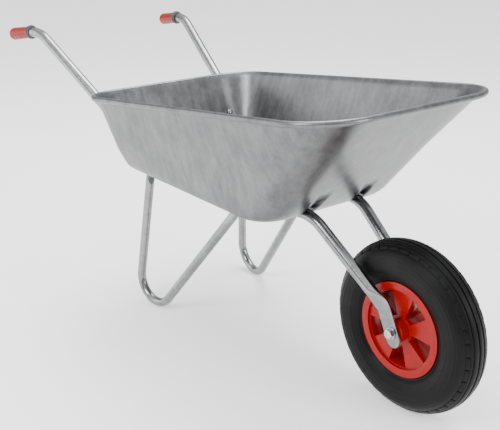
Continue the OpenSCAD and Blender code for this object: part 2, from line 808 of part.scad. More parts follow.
// Wedge between the spokes, outline seen along the axle
module window_shape(grow) {
    half = window_a / 2;
    r_out = ring_in - 3 + grow;
    intersection() {
        difference() {
            circle(r = r_out);
            circle(r = window_in - grow);
        }
        translate([-grow / sin(half), 0])
            polygon([[0, 0], flange_d * [cos(half), sin(half)], flange_d * [cos(half), -sin(half)]]);
    }
}

screw_r = 2.5;
screw_at = 58;
screw_head_r = 4.5;
screw_head_h = 2.5;
screw_l = 30;
boss_r = 6;

module at_screws() {
    for (k = [0:spoke_n - 1])
        translate([0, 0, axle_z]) rotate([0, -valve_a + (k + 0.5) * 360 / spoke_n, 0])
            translate([screw_at, 0, 0]) rotate([-90, 0, 0]) children();
}

// One moulded half. The parting face is at y = 0 and the outer face towards +y.
module wheel_half() {
    difference() {
        union() {
            translate([0, 0, axle_z]) rotate([-90, 0, 0]) rotate_extrude($fn = 96) union() {
                translate([seat_rad - barrel_t, 0]) square([barrel_t, rim_half]);
                translate([ring_in, rim_half - lip_t]) square([flange_r - ring_in, lip_t]);
                translate([hub_d / 2 - 2, disc_out - disc_t]) square([seat_rad - hub_d / 2 - 1, disc_t]);
                translate([ring_in, disc_out - disc_t]) square([3, rim_half - disc_out + disc_t - 1]);
                square([hub_d / 2, hub_half]);
            }
            for (k = [0:spoke_n - 1]) translate([0, 0, axle_z]) rotate([0, -valve_a + k * 360 / spoke_n, 0])
                rotate([-90, 0, 0]) linear_extrude(height = disc_out - disc_t / 2) difference() {
                    window_shape(window_wall);
                    window_shape(0);
                }
            at_screws() cylinder(h = disc_out - 1, r = boss_r);
        }
        for (k = [0:spoke_n - 1]) translate([0, 0, axle_z]) rotate([0, -valve_a + k * 360 / spoke_n, 0])
            rotate([-90, 0, 0]) translate([0, 0, -1]) linear_extrude(height = rim_w) window_shape(0);
        on_axle() cylinder(h = 2 * sleeve_l, r = bush_r, center = true);
        at_valve() cylinder(h = 2 * stem_l, r = stem_r + bolt_gap, center = true);
    }
}

module wheel_half_left() {
    color([0.86, 0.05, 0.04]) difference() {
        wheel_half();
        at_screws() translate([0, 0, -1]) cylinder(h = rim_w, r = screw_r);
    }
}

module wheel_half_right() {
    color([0.86, 0.05, 0.04]) difference() {
        mirror([0, 1, 0]) wheel_half();
        at_screws() translate([0, 0, disc_out - screw_l]) cylinder(h = screw_l, r = screw_r);
    }
}

module wheel_screws() {
    color([0.7, 0.7, 0.72]) at_screws() translate([0, 0, disc_out]) {
        cylinder(h = screw_head_h, r = screw_head_r);
        translate([0, 0, -screw_l]) cylinder(h = screw_l + 1, r = screw_r);
    }
}

// side is 1 on the left and -1 on the right
module wheel_bush(side) {
    color([0.15, 0.15, 0.16]) translate([0, 0, axle_z]) rotate([-90 * side, 0, 0]) difference() {
        union() {
            translate([0, 0, hub_half - bush_l]) cylinder(h = bush_l, r = bush_r);
            translate([0, 0, hub_half]) cylinder(h = bush_flange_t, r = bush_flange_r);
        }
        cylinder(h = sleeve_l, r = sleeve_d / 2 + run_gap);
    }
}

module wheel_bush_left() {
    wheel_bush(1);
}

module wheel_bush_right() {
    wheel_bush(-1);
}

module axle_sleeve() {
    color([0.6, 0.6, 0.62]) translate([0, 0, axle_z]) rotate([90, 0, 0]) difference() {
        cylinder(h = sleeve_l, r = sleeve_d / 2, center = true);
        cylinder(h = sleeve_l + 2, r = axle_d / 2 + bolt_gap, center = true);
    }
}

axle_out = sleeve_l / 2 + strap_t;
axle_washer_t = 2;
axle_washer_r = axle_d;
axle_head_r = 0.87 * axle_d;
axle_head_h = 0.62 * axle_d;
axle_nut_h = 0.85 * axle_d;

// z points out of the right-hand side
module on_axle() {
    translate([0, 0, axle_z]) rotate([90, 0, 0]) children();
}

module axle_bolt() {
    reach = 2 * (axle_out + axle_washer_t) + axle_nut_h + thread_over;
    color([0.78, 0.78, 0.8]) on_axle() translate([0, 0, axle_out + axle_washer_t])
        bolt(axle_d / 2, reach, axle_head_r, axle_head_h);
}

module axle_washers() {
    color([0.7, 0.7, 0.72]) on_axle() for (z = [axle_out, -axle_out - axle_washer_t]) translate([0, 0, z])
        washer(axle_d / 2 + bolt_gap, axle_washer_r, axle_washer_t);
}

module axle_nut() {
    color([0.78, 0.78, 0.8]) on_axle() translate([0, 0, -axle_out - axle_washer_t - axle_nut_h])
        nut(axle_d / 2, axle_head_r, axle_nut_h);
}

// ---- Bolts through the pan ----

// Height above the tube's axis of the inside of the floor's seat, and of the rear wall
crest = seat_r + sheet;
lean_lift = washer_r * sin(splay) + 0.1;
bolt_top = crest + lean_lift;
tab_under = -tube_r - tab_t;
nut_h = 0.8 * bolt_d;

module leg_bolts() {
    color([0.78, 0.78, 0.8]) at_leg_bolts() translate([0, 0, bolt_top + washer_t])
        bolt(bolt_r, bolt_top + washer_t - tab_under + washer_t + nut_h + thread_over, head_r, head_h);
}

module leg_bolt_washers() {
    color([0.7, 0.7, 0.72]) at_leg_bolts() translate([0, 0, bolt_top])
        washer(bolt_r + bolt_gap, washer_r, washer_t);
}

module leg_washers() {
    color([0.7, 0.7, 0.72]) at_leg_bolts() translate([0, 0, tab_under - washer_t])
        washer(bolt_r + bolt_gap, washer_r, washer_t);
}

module leg_nuts() {
    color([0.78, 0.78, 0.8]) at_leg_bolts() translate([0, 0, tab_under - washer_t - nut_h])
        nut(bolt_r, head_r, nut_h);
}

// The rear wall's seat stands this much clear of the tube in the middle of its height
wall_gap = 3;
wall_top = crest + wall_gap;

module wall_bolts() {
    color([0.78, 0.78, 0.8]) at_wall_bolts() translate([0, 0, wall_top + washer_t])
        bolt(bolt_r, wall_top + washer_t + tube_r + washer_t + nut_h + thread_over, head_r, head_h);
}

module wall_washers() {
    color([0.7, 0.7, 0.72]) at_wall_bolts() translate([0, 0, wall_top])
        washer(bolt_r + bolt_gap, washer_r, washer_t);
}

module wall_nuts() {
    color([0.78, 0.78, 0.8]) at_wall_bolts() translate([0, 0, -tube_r - nut_h])
        nut(bolt_r, head_r, nut_h);
}

translate([axle_x, 0, 0]) {
    pan();
    frame_tube_left();
    frame_tube_right();
    leg_left();
    leg_right();
    grip_left();
    grip_right();
    tyre();
    inner_tube();
    valve_stem();
    valve_cap();
    wheel_half_left();
    wheel_half_right();
    wheel_screws();
    wheel_bush_left();
    wheel_bush_right();
    axle_sleeve();
    axle_bolt();
    axle_washers();
    axle_nut();
    leg_bolts();
    leg_bolt_washers();
    leg_washers();
    leg_nuts();
    wall_bolts();
    wall_washers();
    wall_nuts();
}
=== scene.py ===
# %% [markdown]
# # A builder's wheelbarrow
# The CAD model is the frame that everything here is built around: it says where each piece is and how the
# wheel turns. This script gives every piece its finished shape and surface. It works in millimetres, with x
# measured from the axle and z from the ground, as a workshop drawing would, and turns them into metres only
# when a mesh is made.

# %% Load the frame
import json
from math import acos, atan2, cos, hypot, pi, radians, sin, sqrt, tan

import bmesh
import bpy
import numpy as np
from mathutils import Matrix, Vector


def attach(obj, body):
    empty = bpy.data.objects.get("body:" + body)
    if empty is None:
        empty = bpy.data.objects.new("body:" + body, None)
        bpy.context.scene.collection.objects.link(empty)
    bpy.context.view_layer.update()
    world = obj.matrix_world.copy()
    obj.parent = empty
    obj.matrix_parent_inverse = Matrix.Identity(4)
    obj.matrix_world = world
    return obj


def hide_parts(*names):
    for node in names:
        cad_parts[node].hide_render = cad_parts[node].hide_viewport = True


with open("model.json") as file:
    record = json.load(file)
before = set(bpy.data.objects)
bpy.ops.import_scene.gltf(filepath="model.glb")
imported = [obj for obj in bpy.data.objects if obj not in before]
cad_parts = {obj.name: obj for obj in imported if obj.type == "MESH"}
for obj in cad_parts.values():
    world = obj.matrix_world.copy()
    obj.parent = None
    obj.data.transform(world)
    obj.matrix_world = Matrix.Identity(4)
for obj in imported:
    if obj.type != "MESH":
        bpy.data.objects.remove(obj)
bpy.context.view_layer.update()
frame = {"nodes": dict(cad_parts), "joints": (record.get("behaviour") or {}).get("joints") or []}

MM = 0.001
axle_x, _, axle_z = [v / MM for v in frame["joints"][0]["pos_m"]]
print("axle at", round(axle_x, 2), round(axle_z, 2), "mm")

# %% [markdown]
# ## Camera and light
# The camera comes first, because it decides which sides matter most. It stands in front of the wheel on the
# right, looks down at about 20 degrees, and uses a 62 mm lens, so the near wheel looks large and the
# handles small. The lens is shifted a hair downwards, which keeps the uprights straight.

# %% Camera
cam_azimuth = 51.99
cam_elevation = 20.4
cam_at = (1.5581, -1.1991, 1.0)
camera = bpy.data.objects.new("camera", bpy.data.cameras.new("camera"))
bpy.context.scene.collection.objects.link(camera)
camera.location = cam_at
camera.rotation_euler = (radians(90 - cam_elevation), 0, radians(cam_azimuth))
camera.data.lens = 61.65
camera.data.shift_y = -0.0074
bpy.context.scene.camera = camera
print("camera at", cam_at)

# %% [markdown]
# Bare zinc is a mirror with a frosted face, so what it reflects makes the picture. A bright broad sky
# above, a pale floor below and a greyer band round the horizon give the tubes their white streak and dark
# edges. Four large soft lamps shape the pan: one high on the camera's left, one from the right, one
# overhead, and one low behind on the left, for the inside of the far wall. The floor gives off a little light
# of its own, which keeps it pale far away from the lamps.

# %% Floor, sky and lamps
def lamp(name, at, aim, size, power):
    """A square soft lamp at a point, aimed at another, in metres."""
    light = bpy.data.lights.new(name, "AREA")
    light.size = size
    light.energy = power
    ob = bpy.data.objects.new(name, light)
    bpy.context.scene.collection.objects.link(ob)
    ob.location = at
    ob.rotation_euler = (Vector(aim) - Vector(at)).to_track_quat("-Z", "Y").to_euler()


lamp("key", (0.2, -3.2, 2.6), (0.0, 0.0, 0.4), 1.3, 95)
lamp("side", (3.2, 0.8, 1.6), (0.2, 0.0, 0.4), 1.1, 60)
lamp("top", (-0.6, 0.8, 3.0), (0.0, 0.0, 0.4), 1.8, 120)
lamp("rear", (-3.0, -2.7, 0.95), (-0.2, 0.1, 0.5), 2.6, 62)

world = bpy.data.worlds.new("studio")
bpy.context.scene.world = world
world.use_nodes = True

floor_mesh = bpy.data.meshes.new("floor")
half_floor = 40
floor_corners = ((-1, -1), (1, -1), (1, 1), (-1, 1))
floor_mesh.from_pydata([(x * half_floor, y * half_floor, 0) for x, y in floor_corners], [], [(0, 1, 2, 3)])
floor = bpy.data.objects.new("floor", floor_mesh)
bpy.context.scene.collection.objects.link(floor)
print("stage set")

# %% [markdown]
# ## Writing shaders as sums
# A material here is a small sum: a streak times a strength, plus some cloud. One class wraps a node's
# output and gives it the ordinary signs, so such a sum can be written as one. Numbers go through Math
# nodes, and colours through Mix, because Math would turn them grey.

# %% Shader maths
class Value:
    """An output socket that can be added, multiplied and so on."""

    def __init__(self, tree, socket):
        self.tree = tree
        self.socket = socket

    def math(self, operation, *others):
        return node(self.tree, "ShaderNodeMath", {"operation": operation}, [self, *others])

    def __add__(self, other): return self.math("ADD", other)
    def __radd__(self, other): return self.math("ADD", other)
    def __mul__(self, other): return self.math("MULTIPLY", other)
    def __rmul__(self, other): return self.math("MULTIPLY", other)
    def __sub__(self, other): return self.math("SUBTRACT", other)
    def __rsub__(self, other):
        return node(self.tree, "ShaderNodeMath", {"operation": "SUBTRACT"}, [other, self])

    def __pow__(self, other): return self.math("POWER", other)

    def between(self, low, high):
        """0 below low, 1 above high."""
        return node(self.tree, "ShaderNodeMapRange", {"interpolation_type": "SMOOTHSTEP"}, [self, low, high])


def node(tree, kind, settings=None, inputs=(), output=0):
    """A new node. settings are its own properties, and inputs are values or links, by place or by name."""
    made = tree.nodes.new(kind)
    for key, value in (settings or {}).items():
        if key == "stops":
            ramp = made.color_ramp.elements
            for element, (place, colour) in zip(list(ramp) + [ramp.new(0.5) for _ in value[2:]], value):
                element.position = place
                element.color = (*colour, 1)
        else:
            setattr(made, key, value)
    pairs = inputs.items() if isinstance(inputs, dict) else enumerate(inputs)
    for key, value in pairs:
        if isinstance(value, Value):
            tree.links.new(value.socket, made.inputs[key])
        else:
            made.inputs[key].default_value = value
    return Value(tree, made.outputs[output])


def mix(tree, factor, a, b):
    """Colour a where the factor is 0 and b where it is 1."""
    made = tree.nodes.new("ShaderNodeMix")
    made.data_type = "RGBA"
    for socket, value in (("Factor_Float", factor), ("A_Color", a), ("B_Color", b)):
        target = next(s for s in made.inputs if s.identifier == socket)
        if isinstance(value, Value):
            tree.links.new(value.socket, target)
        else:
            target.default_value = value if socket == "Factor_Float" else (*value, 1)
    return Value(tree, next(s for s in made.outputs if s.identifier == "Result_Color"))


def grain(tree, scale, stretch=(1, 1, 1), detail=2.0, centre=(0, 0, 0)):
    """Noise between 0 and 1 in the piece's own space, finer along an axis that is stretched more."""
    place = node(tree, "ShaderNodeTexCoord", output=3)
    place = node(tree, "ShaderNodeMapping", {"vector_type": "POINT"}, {"Vector": place, "Location": centre,
                                                                     "Scale": stretch})
    return node(tree, "ShaderNodeTexNoise", {}, {"Vector": place, "Scale": scale, "Detail": detail})


def cells(tree, scale):
    """Random cells, as the crystals of a zinc coat."""
    place = node(tree, "ShaderNodeTexCoord", output=3)
    made = node(tree, "ShaderNodeTexVoronoi", {}, {"Vector": place, "Scale": scale}, output=1)
    return node(tree, "ShaderNodeSeparateColor", {}, [made])


def material(name, **fixed):
    """An empty material with its Principled shader. fixed gives the sockets that are the same all over."""
    made = bpy.data.materials.new(name)
    made.use_nodes = True
    shader = made.node_tree.nodes["Principled BSDF"]
    for key, value in fixed.items():
        shader.inputs[key.replace("_", " ")].default_value = value
    return made, made.node_tree, shader


def feed(tree, shader, **links):
    """Links values to the shader's sockets."""
    for key, value in links.items():
        tree.links.new(value.socket, shader.inputs[key.replace("_", " ")])


def bump(tree, height, strength, distance):
    """Normal from a height, with its depth in metres."""
    return node(tree, "ShaderNodeBump", {}, {"Height": height, "Strength": strength, "Distance": distance})

# %% [markdown]
# ## Finishes
# Galvanised sheet is zinc over steel. It isn't one grey: the bath leaves crystals the size of a thumbnail,
# the press leaves streaks down the walls, and handling leaves clouds. The streaks are noise squeezed across
# the wall, the crystals are cells, and both change the colour a little and the roughness more, which is
# what the eye reads as metal.

# %% Galvanised sheet and tube
def galvanised(name, dark, light, smooth, rough, streak, crystal):
    """Zinc coat. streak is the strength of the vertical drag marks, and crystal that of the spangle."""
    made, tree, shader = material(name, Metallic=1.0)
    cloud = grain(tree, 7.0, detail=3.0)
    drag = grain(tree, 7.0, (8.0, 8.0, 0.35), 4.0)
    fine = grain(tree, 45.0, (7.0, 7.0, 0.3), 2.0)
    flake = cells(tree, 90.0)
    tone = cloud * 0.5 + drag * streak + fine * (streak * 0.4) + flake * crystal
    tone = tone.between(0.12 + 0.35 * streak, 0.62 + 0.9 * streak + 0.6 * crystal)
    feed(tree, shader, Base_Color=mix(tree, tone, dark, light))
    feed(tree, shader, Roughness=(drag * 0.5 + cloud * 0.3 + flake * 0.2) * (rough - smooth) + smooth)
    feed(tree, shader, Normal=bump(tree, drag * 0.6 + flake * 0.12 + fine * 0.3, 0.16, 0.0005))
    return made


sheet_zinc = galvanised("galvanised_sheet", (0.09, 0.092, 0.095), (0.225, 0.227, 0.23), 0.27, 0.44, 0.6, 0.08)
tube_zinc = galvanised("galvanised_tube", (0.17, 0.173, 0.177), (0.36, 0.363, 0.367), 0.14, 0.3, 0.3, 0.15)
bright_zinc = galvanised("bright_zinc", (0.42, 0.43, 0.44), (0.72, 0.72, 0.7), 0.14, 0.3, 0.2, 0.3)
drawn_steel = galvanised("drawn_steel", (0.34, 0.34, 0.35), (0.5, 0.5, 0.5), 0.25, 0.4, 0.4, 0.05)
print("zinc finishes made")

# %% [markdown]
# The wheel is moulded in glossy plastic and the grips in a softer, duller one. Both have the faint orange
# peel of a mould and a bloom of dust, which lightens and dulls the red in clouds.

# %% Plastics
def moulded(name, colour, dusty, smooth, rough, peel, depth, coat=0.0):
    """Moulded plastic: its colour, dusty tint, range of roughness, and the peel's scale and depth."""
    made, tree, shader = material(name, Coat_Roughness=0.12, Specular_IOR_Level=0.2)
    shader.inputs["Coat Weight"].default_value = coat
    cloud = grain(tree, 14.0, detail=4.0)
    skin = grain(tree, peel, detail=2.0)
    bloom = cloud.between(0.45, 0.75)
    feed(tree, shader, Base_Color=mix(tree, bloom * 0.5, colour, dusty))
    feed(tree, shader, Roughness=bloom * (rough - smooth) + smooth)
    feed(tree, shader, Normal=bump(tree, skin, 0.3, depth))
    return made


wheel_red = moulded("wheel_red", (0.27, 0.0006, 0.0004), (0.24, 0.0016, 0.0012),
                    0.24, 0.4, 220.0, 0.0002, 0.08)
grip_red = moulded("grip_red", (0.22, 0.0006, 0.0008), (0.19, 0.002, 0.0024), 0.34, 0.5, 700.0, 0.0003)
collar_grey = moulded("collar_grey", (0.06, 0.06, 0.065), (0.14, 0.14, 0.14), 0.4, 0.6, 500.0, 0.0002)
nylon_black = moulded("nylon_black", (0.02, 0.02, 0.022), (0.06, 0.06, 0.06), 0.35, 0.55, 400.0, 0.0002)
print("plastics made")

# %% [markdown]
# Rubber is black but never black all over. The sidewall has fine turned lines from the mould, which are a
# sine of the distance from the axle, and dust sits in patches. The tread is duller than the sidewall.

# %% Rubber
def rubber(name, ring_depth, smooth, rough):
    """Black rubber with turned lines round the axle."""
    made, tree, shader = material(name, Specular_IOR_Level=0.13)
    place = node(tree, "ShaderNodeTexCoord", output=3)
    x = node(tree, "ShaderNodeSeparateXYZ", {}, [place], 0) - axle_x * MM
    z = node(tree, "ShaderNodeSeparateXYZ", {}, [place], 2) - axle_z * MM
    radius = (x * x + z * z) ** 0.5
    lines = (radius * 5200.0).math("SINE")
    cloud = grain(tree, 11.0, detail=5.0)
    speck = grain(tree, 420.0, detail=2.0)
    dust = cloud.between(0.5, 0.8) * 0.6 + speck.between(0.55, 0.8) * 0.25
    feed(tree, shader, Base_Color=mix(tree, dust, (0.0022, 0.0022, 0.0024), (0.011, 0.011, 0.012)))
    feed(tree, shader, Roughness=(cloud * 0.7 + speck * 0.3) * (rough - smooth) + smooth)
    feed(tree, shader, Normal=bump(tree, lines * 0.5 + speck * 0.8, 0.4, ring_depth))
    return made


tyre_rubber = rubber("tyre_rubber", 0.00025, 0.3, 0.62)
plain_rubber = rubber("plain_rubber", 0.0001, 0.45, 0.65)

floor_paint, tree, shader = material("floor_paint", Roughness=0.85,
                                     Emission_Color=(1, 1, 1, 1), Emission_Strength=0.5)
shade = grain(tree, 1.5, detail=2.0)
feed(tree, shader, Base_Color=mix(tree, shade, (0.87, 0.87, 0.87), (0.9, 0.9, 0.9)))
floor_mesh.materials.append(floor_paint)

sky = world.node_tree
height = node(sky, "ShaderNodeTexCoord", output=0)
height = node(sky, "ShaderNodeSeparateXYZ", {}, [height], 2)
stops = [(0.0, (0.6, 0.6, 0.6)), (0.5, (0.5, 0.5, 0.505)), (0.66, (0.7, 0.7, 0.705)), (1.0, (2.1, 2.1, 2.1))]
ramp = node(sky, "ShaderNodeValToRGB", {"stops": stops}, [height * 0.5 + 0.5])
sky.links.new(ramp.socket, sky.nodes["Background"].inputs["Color"])
sky.nodes["Background"].inputs["Strength"].default_value = 1.0
print("rubber, floor and sky made")

# %% [markdown]
# ## Making meshes
# Every shape below is a list of points in millimetres and a list of faces. One function turns them into an
# object whose place is in its mesh, with its origin at the world's. A closed strip of rings is the
# commonest case, so it has a function of its own.

# %% Mesh helpers
def unit(v):
    v = np.asarray(v, float)
    return v / np.linalg.norm(v)


def blend(a, b, f):
    return a + (b - a) * f


def smooth(f):
    """0 to 1 with level ends."""
    return f * f * (3 - 2 * f)


def piece(name, points, faces, finish, crease=40):
    """An object from points in mm. Edges sharper than crease degrees stay sharp."""
    mesh = bpy.data.meshes.new(name)
    metres = (np.asarray(points, float) + (axle_x, 0, 0)) * MM
    mesh.from_pydata(metres.tolist(), [], [list(map(int, f)) for f in faces])
    mesh.materials.append(finish)
    mesh.validate()
    ob = bpy.data.objects.new(name, mesh)
    bpy.context.scene.collection.objects.link(ob)
    mesh.shade_smooth()
    mesh.set_sharp_from_angle(angle=radians(crease))
    return ob


def strip(rings, close=True, caps=True):
    """Points and faces of a skin through rings of equal length. close joins each ring's end to its start."""
    n = len(rings[0])
    faces = []
    for k in range(len(rings) - 1):
        for q in range(n if close else n - 1):
            a, b = k * n + q, k * n + (q + 1) % n
            faces.append((a, b, b + n, a + n))
    if caps:
        last = (len(rings) - 1) * n
        faces.append(tuple(range(n))[::-1])
        faces.append(tuple(last + q for q in range(n)))
    return np.vstack(rings), faces


def outwards(ob):
    """Turns the faces of a closed shape outwards."""
    bm = bmesh.new()
    bm.from_mesh(ob.data)
    bmesh.ops.remove_doubles(bm, verts=bm.verts, dist=1e-7)
    bmesh.ops.recalc_face_normals(bm, faces=bm.faces)
    bm.to_mesh(ob.data)
    bm.free()
    return ob


def mirrored(points):
    return np.asarray(points) * (1, -1, 1)


def bake(ob):
    """The object with its modifiers made into a plain mesh."""
    graph = bpy.context.evaluated_depsgraph_get()
    mesh = bpy.data.meshes.new_from_object(ob.evaluated_get(graph), depsgraph=graph)
    ob.modifiers.clear()
    ob.data = mesh
    return ob


def hand_in(ob, body, slot, *nodes):
    """Attaches a finished piece to its body and hides the CAD nodes that it stands for. Its slot is not used.
    """
    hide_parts(*nodes)
    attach(ob, body)
    faces = len(ob.data.polygons)
    print(f"{ob.name}: {faces} faces")
    return ob

# %% [markdown]
# ## Frame tubes
# Each side of the frame is one steel tube, bent four times: at the handle, below the rim, behind the floor
# and where it leaves the pan. Its front end is pressed flat and kinked, so that the axle bolt goes through
# it. It is a skin through a row of sections. A section is an ellipse with a squareness: 1 is round and 0.3
# is nearly a rectangle, so the same skin runs from round tube to flat strap.

# %% Sizes of the frame
length, tyre_d = 1450, 364
handle_w, grip_z = 488, 635
tube_r = 12.5
tube_bend, heel_bend = 90, 66
tube_z = 371
fork_y, fork_x = 71, 216
heel_y, neck_y = 152, 184
strap_y = 50
strap_a, strap_b = 18, 2
flat_square = 0.25
kink_x, kink_h = 24, 48
strap_over = 31
rim_rear_x, rim_front_x = -876, 2
rim_z_rear, rim_z_front = 528, 632
floor_rear, floor_front, floor_z = 788, 243, 357
bead_r = 6.5
rear_run = -floor_rear - rim_rear_x - bead_r
rear_drop = rim_z_rear - floor_z
rear_n = np.array([rear_drop, rear_run]) / hypot(rear_run, rear_drop)
seat_r = 13.35
heel_x = -floor_rear - seat_r / rear_n[0] - (tube_z - floor_z) * rear_run / rear_drop
neck_z = rim_z_rear - 38
neck_x = heel_x - (neck_z - tube_z) * rear_run / rear_drop
grip_x = tyre_d / 2 - length

tube_route = np.array([
    (grip_x + 8, -handle_w / 2, grip_z),
    (grip_x + 138, -228, 656),
    (neck_x, -neck_y, neck_z),
    (heel_x, -heel_y, tube_z),
    (-fork_x, -fork_y, tube_z),
    (-kink_x, -strap_y, axle_z + kink_h),
], float)
strap_dir = unit((kink_x, 0, -kink_h))
strap_end = tube_route[5] + strap_dir * (hypot(kink_x, kink_h) + strap_over - strap_a)
floor_yaw = atan2(heel_y - fork_y, -fork_x - heel_x)
print("the heel is at x", round(heel_x, 1), "and the neck at", round(neck_x, 1))


def bend(route, i, radius, steps):
    """Stations, each a centre and a direction, round the bend at corner i."""
    d, e = unit(route[i] - route[i - 1]), unit(route[i + 1] - route[i])
    turn = acos(d @ e)
    side = unit(e - d * (d @ e))
    c = route[i] - d * radius * tan(turn / 2) + side * radius
    return [(c - side * radius * cos(a) + d * radius * sin(a), d * cos(a) + side * sin(a))
            for a in np.linspace(0, turn, steps + 1)]


def section(station, wide, a, b, square=1.0, sides=48):
    """Points of a section. a and b are its half width and half thickness, and wide lies near its width."""
    centre, along = station
    u = unit(wide - along * (along @ wide))
    v = np.cross(along, u)
    q = 2 * pi * np.arange(sides) / sides
    across = np.sign(np.cos(q)) * np.abs(np.cos(q)) ** square
    up = np.sign(np.sin(q)) * np.abs(np.sin(q)) ** square
    return centre + np.outer(across * a, u) + np.outer(up * b, v)


def round_tip(middle, direction, wide, a, b, out=True):
    """Sections that close a flat end in a half circle."""
    steps = [sin(radians(t)) for t in (0, 20, 38, 54, 68, 78, 85, 89)]
    along = direction if out else -direction
    return [section((middle + direction * a * k, along), wide, a * sqrt(1 - k * k), b, flat_square)
            for k in (steps if out else steps[::-1])]

# %% Build the frame tubes
def tube_bend_stations(i, steps=14):
    return bend(tube_route, i, heel_bend if i == 3 else tube_bend, steps)


def frame_tube():
    across = lambda along: unit(np.cross((0, 1, 0), along))
    back = unit(tube_route[1] - tube_route[0])
    fork = unit(tube_route[5] - tube_route[4])
    front = tube_route[5] - 46 * fork
    full_route = np.vstack([tube_route, strap_end])
    kink = bend(full_route, 5, 20, 8)
    stations = [(tube_route[0], back)]
    stations += [s for i in (1, 2, 3, 4) for s in tube_bend_stations(i)] + [(front, fork)]
    rings = [section(s, across(s[1]), tube_r, tube_r) for s in stations]
    for f in np.linspace(0.1, 0.9, 9):
        g = smooth(f)
        rings.append(section((blend(front, kink[0][0], f), fork), across(fork), blend(tube_r, strap_a, g),
                             blend(tube_r, strap_b, g), blend(1.0, flat_square, g)))
    rings += [section(s, across(s[1]), strap_a, strap_b, flat_square) for s in kink]
    rings += round_tip(strap_end, strap_dir, across(strap_dir), strap_a, strap_b)
    return strip(rings)


tube_points, tube_faces = frame_tube()
for side, points in (("right", tube_points), ("left", mirrored(tube_points))):
    tube = outwards(piece(f"frame_tube_{side}_finished", points, tube_faces, tube_zinc, 50))
    hand_in(tube, "chassis", "tube_steel", f"frame_tube_{side}")

# %% [markdown]
# ## Legs
# A leg is one tube too: a flat tab bolted under the frame, the upright, the foot's bend, the brace and a
# second tab. It lies in a plane that leans outwards, so it is drawn flat in that plane and then placed by a
# matrix.

# %% Build the legs
leg_r = 11
foot_x, foot_bend = 709, 60
upright_x, brace_x = 735, 409
splay = radians(3.6)
tab_l, tab_a, tab_b = 38, 13, 1.5
flare = 30


def under_tube(x):
    """Matrix of a leg's or a leg bolt's own space: origin on the tube's axis at x, z leaning with the leg."""
    y = -(fork_y + (-fork_x - x) * tan(floor_yaw))
    lean = Matrix.Rotation(-splay, 4, "X")
    return Matrix.Translation((x, y, tube_z)) @ Matrix.Rotation(floor_yaw, 4, "Z") @ lean


def placed(matrix, points):
    """Points moved by a matrix."""
    m = np.array(matrix)
    return np.asarray(points) @ m[:3, :3].T + m[:3, 3]


def leg():
    wide = np.array((0.0, 1.0, 0.0))
    tab_z = -tube_r - tab_b
    centre = np.array([(upright_x - foot_x) / cos(floor_yaw), -(tube_z - leg_r) / cos(splay) + foot_bend])
    tops = [np.array([0, tab_z]), np.array([(upright_x - brace_x) / cos(floor_yaw), tab_z])]
    angles = []
    for p, side in zip(tops, (1, -1)):
        off = p - centre
        angles.append(atan2(off[1], off[0]) + side * acos(foot_bend / hypot(*off)))
    angles[1] += 2 * pi
    middle = sum(angles) / 2
    corner = centre + foot_bend / cos((angles[1] - angles[0]) / 2) * np.array([cos(middle), sin(middle)])
    reach = np.array([tab_l - tab_a, 0])
    flat = [tops[0] - reach, tops[0], corner, tops[1], tops[1] + reach]
    route = np.array([(x, 0, z) for x, z in flat])
    top, foot, end = bend(route, 1, 12, 8), bend(route, 2, foot_bend, 28), bend(route, 3, 12, 8)
    flat_part = lambda stations: [section(s, wide, tab_a, tab_b, flat_square) for s in stations]

    def flared(start, away, along):
        """Sections from the flat tab to the round tube."""
        grown = [(f, smooth(f)) for f in np.linspace(0.1, 1, 10)]
        return [section((start + away * flare * f, along), wide, blend(tab_a, leg_r, g),
                        blend(tab_b, leg_r, g), blend(flat_square, 1, g)) for f, g in grown]

    rings = round_tip(route[0], np.array((-1.0, 0, 0)), wide, tab_a, tab_b, out=False)
    rings += flat_part(top) + flared(top[-1][0], top[-1][1], top[-1][1])
    rings += [section(s, wide, leg_r, leg_r) for s in foot]
    rings += flared(end[0][0], -end[0][1], end[0][1])[::-1] + flat_part(end)
    rings += round_tip(route[4], np.array((1.0, 0, 0)), wide, tab_a, tab_b)
    return strip(rings)


leg_points, leg_faces = leg()
leg_points = placed(under_tube(-upright_x), leg_points)
for side, points in (("right", leg_points), ("left", mirrored(leg_points))):
    made = outwards(piece(f"leg_{side}_finished", points, leg_faces, tube_zinc, 50))
    hand_in(made, "chassis", "tube_steel", f"leg_{side}")

# %% [markdown]
# ## Pan
# The pan is one sheet, pressed deep, with its edge rolled outwards round a bead. Its skin is a row of
# rings, each a rectangle with rounded corners. The rings shrink from the rim to the floor. The steep band
# at the top of the sides ends in a soft crease, and below it the side leans in more. Two rounded seats for
# the frame tubes are pressed up into the floor and fade out on the front wall, and each is found by pushing
# the sheet in until it clears the tube.

# %% Sizes of the pan
w_rear, w_front = 504, 510
r_rear, r_front = 95, 118
floor_w = 364
floor_r_rear, floor_r_front = 22, 60
crease_h, crease_in = 127, 39
sheet = 1.2
seat_skirt = 5
rise = tube_z - floor_z
fillet_start = 0.88
heel_len, toe_len, edge_len = 26, 37, 10
fade_h = 78
rim_slope = (rim_z_front - rim_z_rear) / (rim_front_x - rim_rear_x)

# A column across an end wall is a kind and a place: in and out lie beside the seat, flank and arc on it.
half_columns = [("in", k / 10) for k in range(10)]
half_columns += [("flank", -f) for f in (1.0, 0.66, 0.33)]
half_columns += [("arc", radians(t)) for t in np.linspace(-90, 90, 9)]
half_columns += [("flank", f) for f in (0.33, 0.66, 1.0)]
half_columns += [("out", k / 14) for k in range(1, 15)]
half = len(half_columns) - 1
cols = 2 * half
corner_rows, straight_rows = 6, 24
rows = 2 * corner_rows + straight_rows
ring_n = 2 * (rows + cols)

seat_bends = [s[0] for i in (3, 4) for s in tube_bend_stations(i, 10)]
seat_path = np.array([tube_route[2]] + seat_bends + [tube_route[5]])
path_a, path_u = seat_path[:-1], seat_path[1:] - seat_path[:-1]


